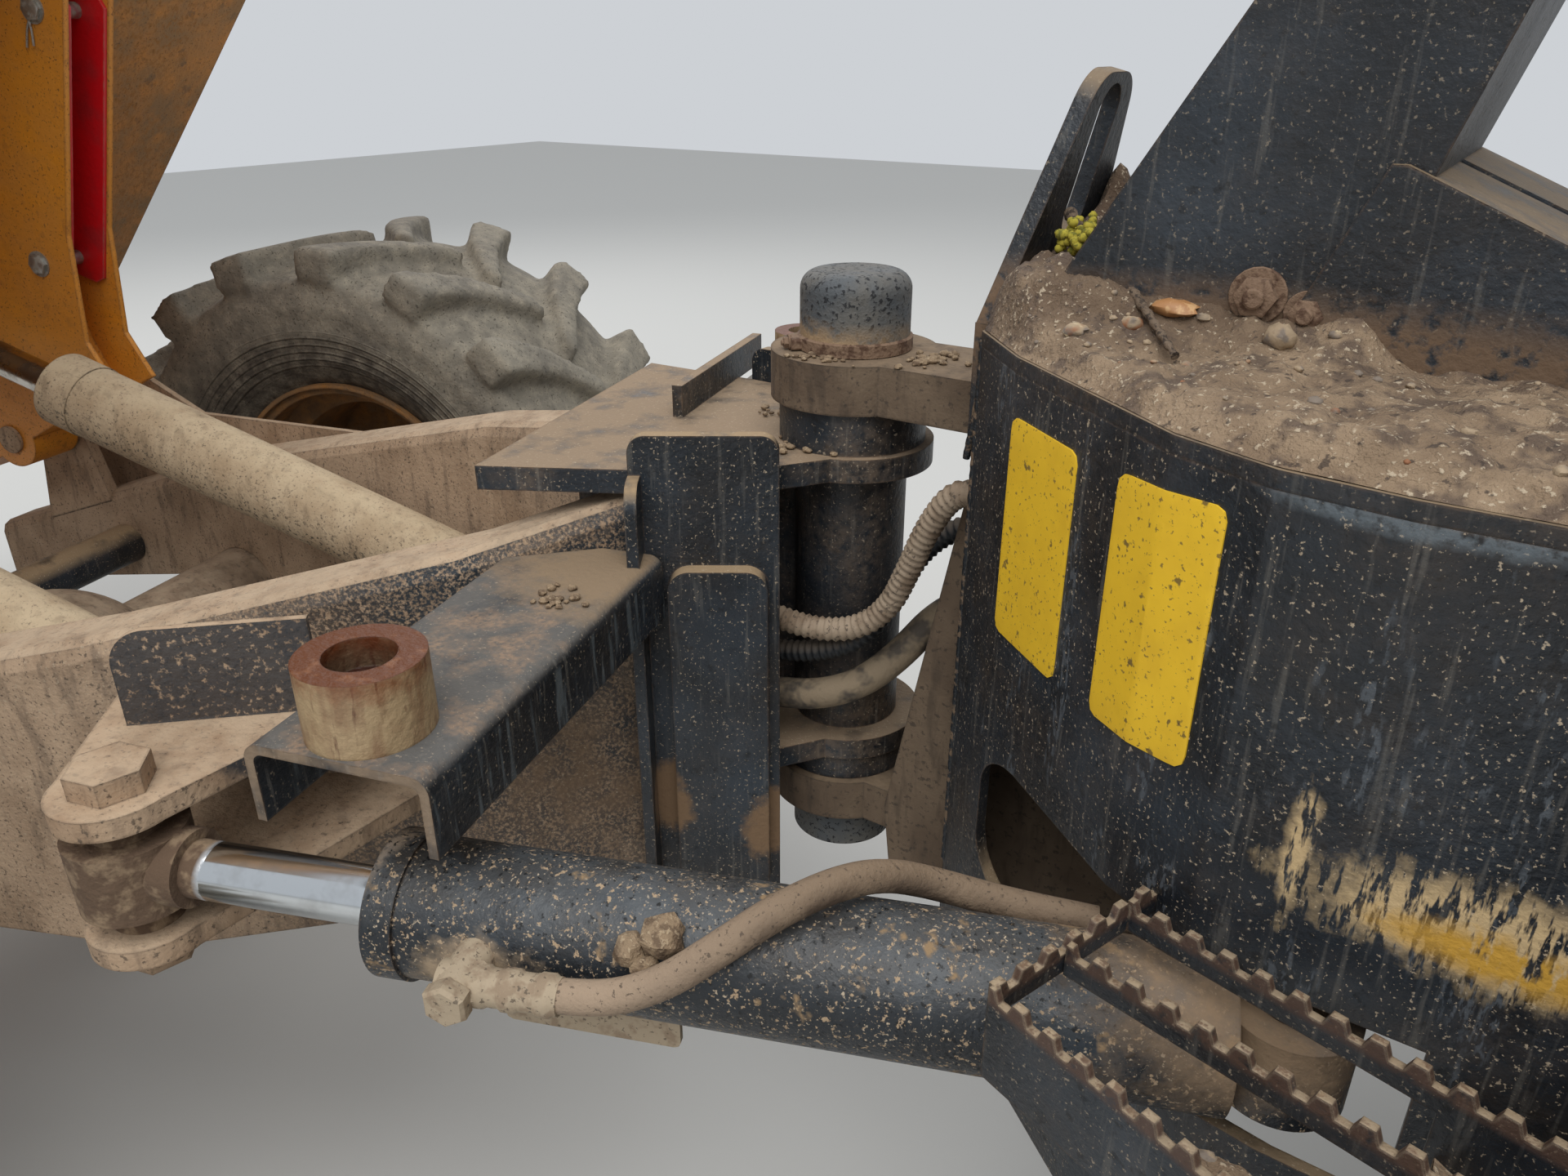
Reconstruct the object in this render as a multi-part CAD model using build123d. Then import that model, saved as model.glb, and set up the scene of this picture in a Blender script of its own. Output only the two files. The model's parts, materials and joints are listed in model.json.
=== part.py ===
from build123d import *
import math
import os

os.makedirs("parts", exist_ok=True)

# Site dumper of the nine tonne class, bent at its pivot and with its skip part way up.
# Millimetres. Two straight frames of axes share the pivot's foot as their zero, X forward,
# Y to the left and Z up: the rear chassis lies along the part's own X, and the front chassis
# is drawn straight and then turned left about the pivot by STEER_REST.

# Driving dimensions of the whole machine
STEER_REST = 16.0
STEER_LOCK = 33.0
SKIP_REST = 48.0
SKIP_MORE = 15.0
FRONT_AXLE_X = 1290.0
REAR_AXLE_X = -1410.0
HALF_TRACK = 960.0
RUN_GAP = 0.05
FACE_GAP = 0.5
SEAT_GAP = 0.3
EYE_PIN_R = 20.0

# Tyres and rims
TYRE_R = 585.0
TYRE_W = 500.0
LUG_H = 38.0
LUG_COUNT = 17
LUG_W = 66.0
LUG_HOOK = 150.0
BEAD_R = 290.0
BEAD_IN = 72.0
FLANGE_IN = 52.0
RIM_LIP = 15.0
RIM_WALL = 9.0
DISC_T = 16.0
DISC_IN = 70.0
SPINDLE_R = 70.0
HUB_R = 132.0

# Centre pivot
PIN_R = 34.0
POST_R = 60.0
LUG_RING_R = 87.0
LUG_UP_Z0 = 1185.0
LUG_T = 50.0
DOME_R = 57.0
DOME_TOP = 1313.0
TAIL_T = 25.0
TAIL_UP_Z1 = 1140.0
TAIL_LOW_Z1 = 808.0
LUG_LOW_Z1 = 750.0
CAP_LOW_Z0 = 655.0
BULKHEAD_X = 250.0
SPINE_HOLE_X = -400.0
HOSE_WALL_X = SPINE_HOLE_X + 0.3

# Front chassis
CHEEK_T = 15.0
CHEEK_REAR = (33.0, 150.0)
CHEEK_FRONT = (173.0, 195.0)
CHEEK_Z0 = 640.0
CHEEK_Z1 = 1180.0
RAIL_W = 100.0
RAIL_Y = 470.0
RAIL_ROUND = 20.0
RAIL_BOTTOM = 610.0
OUTRIGGER_X0 = 140.0
OUTRIGGER_X1 = 296.0
OUTRIGGER_Y1 = 600.0
OUTRIGGER_Z1 = 1060.0
OUTRIGGER_DROP = 68.0
FOLD_T = 8.0
BUFFER_X = 220.0
BUFFER_Y = 550.0
BUFFER_R = 48.0
BUFFER_H = 60.0
AXLE_R = 78.0

# Steering ram
RAM_Z = 885.0
RAM_BASE = (-560.0, 335.0)
RAM_EYE = (480.0, 566.0)
RAM_BARREL_R = 57.0
RAM_ROD_R = 25.0
RAM_GLAND = 680.0
RAM_ROD = 680.0
RAM_HOLE_X = -262.0
RAM_EYE_R = 50.0
EAR_T = 20.0
HOSE_R = 13.0
EAR_UP_Z0 = 940.0
EAR_LOW_Z0 = 806.0
EAR_R = 52.0

# Skip and its two tipping rams, in the skip's own axes when it is down
SKIP_X = 1660.0
FLOOR_Z = 316.0
SKIP_CLEAR = 16.0
SKIP_Z = 2 * TYRE_R + SKIP_CLEAR - FLOOR_Z
SKIP_WALL = 8.0
RIM_Z = 960.0
RIM_BAR = 34.0
ARM_Y = 368.0
ARM_W = 92.0
ARM_PLATE = 10.0
ARM_BOSS_R = 52.0
ARM_DEPTH = 80.0
# the rear edge of the arm, x and z in the skip's side view
ARM_EDGE = ((-772.0, 203.0), (-445.0, 58.0))
PROP_DEPTH = 74.0
PROP_T = 6.0
PROP_PIN_R = 11.0
# distance along the arm's edge, depth behind it
PROP_PINS = ((31.0, 55.0), (427.0, 55.0))
SKIP_PIN_R = 25.0
TIP_Y = 250.0
TIP_BASE = (620.0, 744.0)
TIP_EYE = (-144.0, 184.0)
TIP_BARREL_R = 60.0
TIP_ROD_R = 27.0
TIP_GLAND = 830.0
TIP_EYE_R = 44.0
TIP_EYE_W = 60.0

# Rear chassis
DECK_T = 12.0
FENDER_GAP = 118.0
DECK_Z = 2 * TYRE_R + FENDER_GAP + DECK_T
SKIRT_T = 10.0
SKIRT_Z0 = 620.0
BODY_Y = 370.0
SKIRT_END = -800.0
FRAME_END = -2140.0
WING_Y = 640.0
ROPS_X = -1560.0
ROPS_Y = 500.0
ROPS_TOP = 3180.0
ROPS_TUBE = 80.0
BONNET_X0 = -1640.0
BONNET_X1 = -2130.0
BONNET_Y = 430.0
BONNET_TOP = 1760.0
SHEET = 4.0
BAY_X0 = -1690.0
BAY_X1 = -2100.0
BAY_Y = 350.0
ENGINE_Z0 = 820.0
SLAT_H = 14.0
SLAT_PITCH = 40.0
SLAT_COUNT = 7
STACK_R = 34.0
HANDRAIL_R = 17.0
TRAY_Z = 985.0
TRAY_DEPTH = 76.0
STEP_Z = 430.0
STEP_L = 280.0
TRAY_END = -740.0
TANK_Y = 612.0
WHEEL_HUB = (-700.0, 0.0, 2010.0)
WHEEL_LEAN = 35.0
TOW_X = -2295.0
TOW_Z = 660.0
TOW_R = 16.0
TOW_H = 100.0
SLING_LEAN = 14.0
SLING_T = 15.0
SLING_H = 203.0
NOSE_X = -200.0
NOSE_Y = 130.0
SLING_SLOT = 130.0
TOOTH_PITCH = 24.0
TRAY_WALL = 6.0
TOOTH_DEPTH = 9.0
CONSOLE_Y = 144.0


def block(x0, x1, y0, y1, z0, z1):
    """A box between two corners."""
    size = (abs(x1 - x0), abs(y1 - y0), abs(z1 - z0))
    return Pos((x0 + x1) / 2, (y0 + y1) / 2, (z0 + z1) / 2) * Box(*size)


def bar(start, end, radius):
    """A round bar from one point to another."""
    run = Vector(*end) - Vector(*start)
    return Plane(origin=start, z_dir=run) * Pos(0, 0, run.length / 2) * Cylinder(radius, run.length)


def plan(points, z0, z1):
    """A flat plate whose outline is seen from above."""
    face = make_face(Polyline(*points, close=True))
    return Pos(0, 0, z0) * extrude(face, z1 - z0)


def side_plate(points, y0, y1):
    """A flat plate whose outline is seen from the side, given as (x, z)."""
    face = Plane.XZ * make_face(Polyline(*points, close=True))
    return Pos(0, y1, 0) * extrude(face, y1 - y0)


def ruled(sections):
    """A closed body through flat outlines, with straight lines between them."""
    faces = [make_face(Polyline(*points, close=True)) for points in sections]
    return loft(faces, ruled=True)


def mirrored(shape):
    """The same piece on the other side of the machine."""
    return mirror(shape, Plane.XZ)


def both(shape):
    """A piece and its twin across the middle."""
    return Compound([shape, mirrored(shape)])


def steered(shape):
    """Turns a front chassis piece to the lock that the machine stands at."""
    return shape.rotate(Axis.Z, STEER_REST)


def tipped(shape):
    """Puts a piece drawn in the skip's own axes on its pins, at the angle it stands at."""
    return Pos(SKIP_X, 0, SKIP_Z) * shape.rotate(Axis.Y, SKIP_REST)


def skip_point(x, z):
    """Where a point of the skip lies in the front chassis, seen from the side."""
    turn = math.radians(SKIP_REST)
    return (
        SKIP_X + x * math.cos(turn) + z * math.sin(turn),
        SKIP_Z - x * math.sin(turn) + z * math.cos(turn),
    )


def front_point(x, y, z):
    """A point given in the front chassis's axes, as it lies in the rear chassis's."""
    turn = math.radians(STEER_REST)
    return (x * math.cos(turn) - y * math.sin(turn), x * math.sin(turn) + y * math.cos(turn), z)


def hose(name, points, radius):
    """A round hose along straight runs, each corner an arc as large as its two runs allow."""
    at = [Vector(*point) for point in points]
    radii = []
    for before, here, after in zip(at, at[1:], at[2:]):
        turn = math.radians((here - before).get_angle(after - here))
        shorter = min((here - before).length, (after - here).length)
        radii.append(0.45 * shorter / math.tan(turn / 2))
    path = FilletPolyline(*points, radius=radii)
    print(name, "length", round(path.length), "bend radii", [round(r) for r in radii])
    start = Plane(origin=points[0], z_dir=at[1] - at[0])
    return sweep(start * Circle(radius), path=path)


def along(start, end, distance):
    """The point at a distance from start towards end."""
    run = Vector(*end) - Vector(*start)
    return Vector(*start) + run.normalized() * distance


def tyre():
    """One tyre about the Y axis, with hooked bar lugs in two staggered rows."""
    half = TYRE_W / 2
    carcass_r = TYRE_R - LUG_H
    side = carcass_r - BEAD_R
    # radius and place across the tyre, from the bead over the sidewall's ribs to the crown
    outline = [
        (BEAD_R, half - BEAD_IN),
        (BEAD_R + 0.2 * side, half - 32),
        (BEAD_R + 0.3 * side, half - 14),
        (BEAD_R + 0.34 * side, half - 18),
        (BEAD_R + 0.5 * side, half - 4),
        (BEAD_R + 0.54 * side, half - 8),
        (BEAD_R + 0.7 * side, half),
        (BEAD_R + 0.88 * side, half - 14),
        (carcass_r - 6, 0.6 * half),
        (carcass_r, 0),
    ]
    inner = [
        (BEAD_R, half - BEAD_IN - 38),
        (BEAD_R + 0.27 * side, half - 54),
        (BEAD_R + 0.62 * side, half - 34),
        (BEAD_R + 0.8 * side, half - 60),
        (carcass_r - 34, 0),
    ]
    ring = None
    for way in (1, -1):
        line = outline + inner[::-1]
        piece = revolve(make_face(Polyline(*[(r, y * way) for r, y in line], close=True)), Axis.Y, 360)
        ring = piece if ring is None else ring + piece
    lugs = []
    for way in (1, -1):
        for index in range(LUG_COUNT):
            turn = 360.0 / LUG_COUNT * (index + (0.5 if way < 0 else 0.0))
            lugs.append(lug_bar(carcass_r - 30, way).rotate(Axis.Y, turn))
    return ring.fuse(*lugs)


def lug_bar(foot_r, way):
    """One lug, slanting from the middle of the tread and hooked straight across at the shoulder."""
    half = TYRE_W / 2
    w = LUG_W / 2
    # tread outline as (along the rim, across the tyre)
    outline = [
        (-w + 8, -12),
        (w - 12, -12),
        (0.66 * LUG_HOOK + w, 0.42 * half),
        (LUG_HOOK + w + 8, 0.84 * half),
        (LUG_HOOK + w + 10, half),
        (LUG_HOOK - w - 10, half),
        (LUG_HOOK - w - 14, 0.84 * half),
        (0.66 * LUG_HOOK - w - 6, 0.42 * half),
    ]
    face = make_face(Polyline(*[(x, y * way) for x, y in outline], close=True))
    prism = Pos(-LUG_HOOK / 2, 0, foot_r) * extrude(face, TYRE_R - foot_r + 20)
    limit = Rot(90, 0, 0) * (Cylinder(TYRE_R, TYRE_W) - Cylinder(foot_r, TYRE_W))
    return prism & limit


def rim():
    """One wheel rim about the Y axis, its disc set out towards +Y."""
    half = TYRE_W / 2 - FLANGE_IN
    seat = BEAD_R - SEAT_GAP
    lip = BEAD_R + RIM_LIP
    well = BEAD_R - 40
    # radius and place across the rim of the outer line
    outer = [
        (lip, -half - 6),
        (lip, -half + 6),
        (seat, -half + 10),
        (seat, -half + 70),
        (well, -half + 95),
        (well, half - 95),
        (seat, half - 70),
        (seat, half - 10),
        (lip, half - 6),
        (lip, half + 6),
    ]
    inner = [(r - RIM_WALL, y) for r, y in reversed(outer)]
    barrel = revolve(make_face(Polyline(*outer, *inner, close=True)), Axis.Y, 360)
    disc = Pos(0, DISC_IN, 0) * Rot(90, 0, 0) * Cylinder(well - 5, DISC_T)
    hub = Pos(0, DISC_IN, 0) * Rot(90, 0, 0) * Cylinder(HUB_R, DISC_T + 60)
    bore = Pos(0, DISC_IN, 0) * Rot(90, 0, 0) * Cylinder(SPINDLE_R + RUN_GAP, DISC_T + 62)
    return barrel + disc + hub - bore


def axle():
    """An axle beam along Y with its casing in the middle and a spindle at each end."""
    spindle_end = HALF_TRACK + DISC_IN + 38
    beam = bar((0, -640, TYRE_R), (0, 640, TYRE_R), AXLE_R)
    spindle = bar((0, -spindle_end, TYRE_R), (0, spindle_end, TYRE_R), SPINDLE_R)
    casing = Pos(0, 0, TYRE_R) * Sphere(165)
    flange_a = bar((0, 600, TYRE_R), (0, 680, TYRE_R), 120)
    return beam + spindle + casing + flange_a + mirrored(flange_a)


def wheel_at(shape, x, side):
    """Sets a wheel piece at one end of an axle, its outer face away from the machine."""
    turned = shape if side > 0 else mirrored(shape)
    return Pos(x, side * HALF_TRACK, TYRE_R) * turned


def tail_plate(z1):
    """One of the two tail plates that reach back to the pivot."""
    # x, half width
    steps = [(0, LUG_RING_R), (40, 120), (62, 142), (173, 178), (330, 215)]
    points = [(x, -w) for x, w in steps] + [(x, w) for x, w in reversed(steps)]
    plate = plan(points, z1 - TAIL_T, z1) + Pos(0, 0, z1 - TAIL_T / 2) * Cylinder(LUG_RING_R, TAIL_T)
    return plate - Pos(0, 0, z1 - TAIL_T / 2) * Cylinder(PIN_R + RUN_GAP, TAIL_T + 2)


def tail():
    """Both tail plates with the pivot post between them and the web in front of it."""
    z0 = TAIL_LOW_Z1 - TAIL_T
    post = Pos(0, 0, (TAIL_UP_Z1 + z0) / 2) * Cylinder(POST_R, TAIL_UP_Z1 - z0)
    post = post - Pos(0, 0, (TAIL_UP_Z1 + z0) / 2) * Cylinder(PIN_R + RUN_GAP, TAIL_UP_Z1 - z0 + 2)
    web = block(POST_R - 4, 330, -8, 8, TAIL_LOW_Z1 - 1, TAIL_UP_Z1 - TAIL_T + 1)
    rise = LUG_UP_Z0 - FACE_GAP - TAIL_UP_Z1
    ring_up = Pos(0, 0, TAIL_UP_Z1 + rise / 2) * Cylinder(78, rise)
    ring_low = Pos(0, 0, (z0 + LUG_LOW_Z1 + FACE_GAP) / 2) * Cylinder(78, z0 - LUG_LOW_Z1 - FACE_GAP)
    hole = Pos(0, 0, 960) * Cylinder(PIN_R + RUN_GAP, 700)
    upstand = block(196, 208, -270, 0, TAIL_UP_Z1 - 1, TAIL_UP_Z1 + 36)
    bulkhead = block(BULKHEAD_X, BULKHEAD_X + 8, 7, 120, TAIL_LOW_Z1 - 1, TAIL_UP_Z1 - TAIL_T - 90)
    rings = ring_up + ring_low - hole
    return tail_plate(TAIL_UP_Z1) + tail_plate(TAIL_LOW_Z1) + post + web + bulkhead + rings + upstand


def cheek():
    """The left cheek plate beside the tail, with its doubler pad and rounded edge plate."""
    (xr, yr), (xf, yf) = CHEEK_REAR, CHEEK_FRONT
    length = math.hypot(xf - xr, yf - yr)
    flare = math.degrees(math.atan2(yf - yr, xf - xr))
    height = CHEEK_Z1 - CHEEK_Z0
    plate = Pos(length / 2, -CHEEK_T / 2, height / 2) * Box(length, CHEEK_T, height)
    plate = fillet(plate.edges().filter_by(Axis.Y).group_by(Axis.Z)[-1], 18)
    pad = Pos(length * 0.42, 9, height / 2 - 60) * Box(length * 0.68, 18, height - 150)
    pad = fillet(pad.edges().filter_by(Axis.Y).group_by(Axis.Z)[-1], 22)
    edge = Pos(length - 6, 20, height / 2 - 10) * Box(12, 40, height - 60)
    edge = fillet(edge.edges().filter_by(Axis.X).group_by(Axis.Z)[-1].sort_by(Axis.Y)[-1], 25)
    return Pos(xr, yr, CHEEK_Z0) * (plate + pad + edge).rotate(Axis.Z, flare)


def rail():
    """The left box rail, which drops and spreads from the tail to the skip pivots."""
    # x, middle of the rail, top, bottom
    stations = [
        (176, 128, 1112, 660),
        (330, 225, 1065, 640),
        (670, 380, 990, RAIL_BOTTOM),
        (1300, RAIL_Y, 835, RAIL_BOTTOM),
        (1890, RAIL_Y, 640, 520),
    ]
    half = RAIL_W / 2
    # the bent top corner, as steps in from the side and down from the top
    corner = [(0, RAIL_ROUND), (0.3 * RAIL_ROUND, 0.3 * RAIL_ROUND), (RAIL_ROUND, 0)]
    rail_body = None
    for (xa, ya, ta, ba), (xb, yb, tb, bb) in zip(stations, stations[1:]):
        sections = []
        for x, y, top, bottom in ((xa, ya, ta, ba), (xb, yb, tb, bb)):
            left = [(x, y + half - aside, top - down) for aside, down in corner]
            right = [(x, y - half + aside, top - down) for aside, down in reversed(corner)]
            sections.append([(x, y + half, bottom), *left, *right, (x, y - half, bottom)])
        piece = ruled(sections)
        rail_body = piece if rail_body is None else rail_body + piece
    notch = bar((FRONT_AXLE_X, 300, TYRE_R), (FRONT_AXLE_X, 600, TYRE_R), AXLE_R + FACE_GAP)
    return rail_body - notch


def pivot_ear():
    """The left ear plate on the rail that carries the skip's pin."""
    y0 = RAIL_Y - RAIL_W / 2
    points = [
        (SKIP_X - 90, 700),
        (SKIP_X + 90, 650),
        (SKIP_X + 48, SKIP_Z + 10),
        (SKIP_X, SKIP_Z + 48),
        (SKIP_X - 48, SKIP_Z + 10),
    ]
    ear = side_plate(points, y0, y0 + 22)
    y1 = RAIL_Y + RAIL_W / 2 - 14
    # the outer plate rises from the rail's top to the pin
    outer = [
        (1020, 730),
        (1020, SKIP_Z + 16),
        (1400, SKIP_Z + 20),
        (1512, SKIP_Z + 80),
        (SKIP_X + 40, SKIP_Z + 80),
        (SKIP_X + 90, SKIP_Z),
        (SKIP_X + 90, 650),
    ]
    bracket = side_plate(outer, y1, y1 + 12)
    pin = bar((SKIP_X, ARM_Y - ARM_W / 2 - 6, SKIP_Z), (SKIP_X, y1 + 20, SKIP_Z), SKIP_PIN_R)
    return ear + bracket + pin


def outrigger():
    """The left folded channel that carries the buffer under the skip."""
    z1 = OUTRIGGER_Z1
    outer = block(OUTRIGGER_X0, OUTRIGGER_X1, 196, OUTRIGGER_Y1, z1 - OUTRIGGER_DROP, z1)
    outer = fillet(outer.edges().filter_by(Axis.Y).group_by(Axis.Z)[-1], 14)
    x0, x1 = OUTRIGGER_X0 + FOLD_T, OUTRIGGER_X1 - FOLD_T
    hollow = block(x0, x1, 195, OUTRIGGER_Y1 + 1, z1 - OUTRIGGER_DROP - 1, z1 - FOLD_T)
    hollow = fillet(hollow.edges().filter_by(Axis.Y).group_by(Axis.Z)[-1], 8)
    return outer - hollow


def buffer():
    """The left round rubber buffer."""
    ring = Cylinder(BUFFER_R, BUFFER_H) - Pos(0, 0, BUFFER_H / 2 - 12) * Cylinder(BUFFER_R * 0.56, 26)
    return Pos(BUFFER_X, BUFFER_Y, OUTRIGGER_Z1 + BUFFER_H / 2) * ring


def ears():
    """The two ears on the left rail that hold the steering ram's rod."""
    ex, ey = RAM_EYE
    pair = None
    tip = EAR_R * 0.9
    outline = [(ex - 150, 250), (ex + 150, 380), (ex + tip, ey + 20), (ex - tip, ey + 20)]
    for z0 in (EAR_UP_Z0, EAR_LOW_Z0):
        root = plan(outline, z0, z0 + EAR_T)
        nose = Pos(ex, ey, z0 + EAR_T / 2) * Cylinder(EAR_R, EAR_T)
        ear = root + nose
        pair = ear if pair is None else pair + ear
    head = Pos(ex, ey, EAR_UP_Z0 + EAR_T) * extrude(RegularPolygon(34, 6), 22)
    nut = Pos(ex, ey, EAR_LOW_Z0 - 24) * extrude(RegularPolygon(32, 6), 24)
    gusset = Box(170, 8, 96)
    gusset = fillet(gusset.edges().filter_by(Axis.Y).sort_by(Axis.X)[-2:].sort_by(Axis.Z)[-1], 34)
    gusset = Pos(ex - 10, ey - 120, EAR_UP_Z0 + EAR_T + 46) * gusset.rotate(Axis.Z, 28)
    return pair + head + nut + gusset


def cross_members():
    """The cross tubes between the rails, with the tipping rams' lower brackets."""
    rear_tube = bar((TIP_BASE[0] - 70, -330, 690), (TIP_BASE[0] - 70, 330, 690), 45)
    front_tube = bar((1560, -420, 640), (1560, 420, 640), 38)
    lugs = None
    # x from the ram's base pin, z
    outline = [(-105, 690), (-30, 650), (34, 730), (20, 780), (-30, 785)]
    outline = [(TIP_BASE[0] + x, z) for x, z in outline]
    for y in (-TIP_Y, TIP_Y):
        for offset_y in (-42, 42):
            lug = side_plate(outline, y + offset_y - 8, y + offset_y + 8)
            lugs = lug if lugs is None else lugs + lug
        pin = bar((TIP_BASE[0], y - 42, TIP_BASE[1]), (TIP_BASE[0], y + 42, TIP_BASE[1]), EYE_PIN_R)
        lugs = lugs + pin
    return Compound([rear_tube + lugs, front_tube])


def skip_bowl():
    """The hollow skip, wider at its rim than at its floor."""
    # z, back, front, half width
    outer = [(FLOOR_Z, -1180, 330, 860), (RIM_Z, -1500, 820, 1130)]
    sections = [[(x0, -w, z), (x1, -w, z), (x1, w, z), (x0, w, z)] for z, x0, x1, w in outer]
    shell = ruled(sections)
    slope = (RIM_Z - FLOOR_Z)
    inner = []
    for z in (FLOOR_Z + SKIP_WALL, RIM_Z + 20):
        share = (z - FLOOR_Z) / slope
        back = -1180 + share * (-1500 + 1180) + SKIP_WALL
        front = 330 + share * (820 - 330) - SKIP_WALL
        half = 860 + share * (1130 - 860) - SKIP_WALL
        inner.append([(back, -half, z), (front, -half, z), (front, half, z), (back, half, z)])
    side = 1130 + RIM_BAR
    rim_bar = block(-1500 - RIM_BAR, 820 + RIM_BAR, -side, side, RIM_Z - 2 * RIM_BAR, RIM_Z)
    ribs = None
    for x in (-900, -350, 200):
        for y in (-995, 995):
            rib = block(x - 30, x + 30, y - 115, y + 115, FLOOR_Z + 160, RIM_Z - RIM_BAR)
            ribs = rib if ribs is None else ribs + rib
    ribs = ribs & ruled([
        [(-1600, -878, FLOOR_Z), (900, -878, FLOOR_Z), (900, 878, FLOOR_Z), (-1600, 878, FLOOR_Z)],
        [(-1600, -side, RIM_Z), (900, -side, RIM_Z), (900, side, RIM_Z), (-1600, side, RIM_Z)],
    ])
    bowl = (shell + rim_bar + ribs) - ruled(inner)
    wide, dip, low, top = 1200, RIM_Z - 60, RIM_Z - 220, RIM_Z + 60
    lip_cut = ruled([
        [(200, -wide, dip), (200, wide, dip), (200, wide, top), (200, -wide, top)],
        [(900, -wide, low), (900, wide, low), (900, wide, top), (900, -wide, top)],
    ])
    return bowl - lip_cut


def arm_point(distance, inside):
    """A point of the skip's side view, counted along the arm's rear edge and inwards from it."""
    (x0, z0), (x1, z1) = ARM_EDGE
    length = math.hypot(x1 - x0, z1 - z0)
    ex, ez = (x1 - x0) / length, (z1 - z0) / length
    return (x0 + ex * distance - ez * inside, z0 + ez * distance + ex * inside)


def skip_arm():
    """The left arm under the skip, a channel open to the rear, with its pin bore."""
    outline = [(-950, FLOOR_Z), *ARM_EDGE, (-300, -45), (-270, -125), (149, 41), (250, FLOOR_Z)]
    arm = side_plate(outline, ARM_Y - ARM_W / 2, ARM_Y + ARM_W / 2)
    arm = arm + bar((0, ARM_Y - ARM_W / 2, 0), (0, ARM_Y + ARM_W / 2, 0), ARM_BOSS_R)
    base = [(-800, FLOOR_Z + 1), arm_point(0, ARM_DEPTH), arm_point(470, ARM_DEPTH), (-240, 2), (-195, -97)]
    mouth = [(-250, -180), (-340, -140), (-500, 0), (-800, 120), (-1000, 190), (-1000, FLOOR_Z + 1)]
    arm = arm - side_plate(base + mouth, ARM_Y - ARM_W / 2 + ARM_PLATE, ARM_Y + ARM_W / 2 - ARM_PLATE)
    for pin in PROP_PINS:
        x, z = arm_point(*pin)
        arm = arm - bar((x, ARM_Y - ARM_W, z), (x, ARM_Y + ARM_W, z), PROP_PIN_R + RUN_GAP)
    return arm - bar((0, ARM_Y - ARM_W, 0), (0, ARM_Y + ARM_W, 0), SKIP_PIN_R + RUN_GAP)


def ram_lugs():
    """The left pair of lugs under the skip that hold the tipping ram's rod."""
    ex, ez = TIP_EYE
    pair = []
    for y in (TIP_Y - TIP_EYE_W / 2 - 1 - 14, TIP_Y + TIP_EYE_W / 2 + 1):
        outline = [(ex - 110, FLOOR_Z), (ex - 40, ez - 30), (ex + 40, ez - 30), (ex + 110, FLOOR_Z)]
        plate = side_plate(outline, y, y + 14)
        pair.append(plate + bar((ex, y, ez), (ex, y + 14, ez), 46))
    return Compound(pair)


def tip_barrel():
    """The left tipping ram's barrel."""
    eye = skip_point(*TIP_EYE)
    base = (TIP_BASE[0], TIP_Y, TIP_BASE[1])
    end = (eye[0], TIP_Y, eye[1])
    gland = along(base, end, TIP_GLAND)
    start = along(base, end, 40)
    tube = bar(tuple(start), tuple(gland), TIP_BARREL_R)
    collar = bar(tuple(along(base, end, TIP_GLAND - 60)), tuple(gland), TIP_BARREL_R + 2)
    eye_boss = bar((base[0], TIP_Y - 32, base[2]), (base[0], TIP_Y + 32, base[2]), 42)
    bore = bar((base[0], TIP_Y - 40, base[2]), (base[0], TIP_Y + 40, base[2]), EYE_PIN_R + RUN_GAP)
    rod_hole = bar(tuple(along(base, end, 120)), tuple(along(base, end, TIP_GLAND + 2)), TIP_ROD_R + RUN_GAP)
    return tube + collar + eye_boss - bore - rod_hole


def tip_rod():
    """The left tipping ram's rod with its eye and pin."""
    eye = skip_point(*TIP_EYE)
    base = (TIP_BASE[0], TIP_Y, TIP_BASE[1])
    end = (eye[0], TIP_Y, eye[1])
    length = (Vector(*end) - Vector(*base)).length
    rod = bar(tuple(along(base, end, length - 700)), end, TIP_ROD_R)
    y0, y1 = TIP_Y - TIP_EYE_W / 2, TIP_Y + TIP_EYE_W / 2
    return rod + bar((eye[0], y0, eye[1]), (eye[0], y1, eye[1]), TIP_EYE_R)


def steer_end():
    """The steering ram's rod eye, seen in the rear chassis."""
    turn = math.radians(STEER_REST)
    ex, ey = RAM_EYE
    return (ex * math.cos(turn) - ey * math.sin(turn), ex * math.sin(turn) + ey * math.cos(turn), RAM_Z)


def steer_barrel():
    """The steering ram's barrel on its base pin."""
    base, end = (*RAM_BASE, RAM_Z), steer_end()
    mouth = tuple(along(base, end, RAM_GLAND))
    tube = bar(tuple(along(base, end, 40)), mouth, RAM_BARREL_R)
    gland = bar(tuple(along(base, end, RAM_GLAND - 26)), mouth, RAM_BARREL_R + 3)
    boss = bar((base[0], base[1], RAM_Z - 35), (base[0], base[1], RAM_Z + 35), 46)
    bore = bar((base[0], base[1], RAM_Z - 40), (base[0], base[1], RAM_Z + 40), 22 + RUN_GAP)
    rod_hole = bar(tuple(along(base, end, 80)), tuple(along(base, end, RAM_GLAND + 2)), RAM_ROD_R + RUN_GAP)
    return tube + gland + boss - bore - rod_hole


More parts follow.
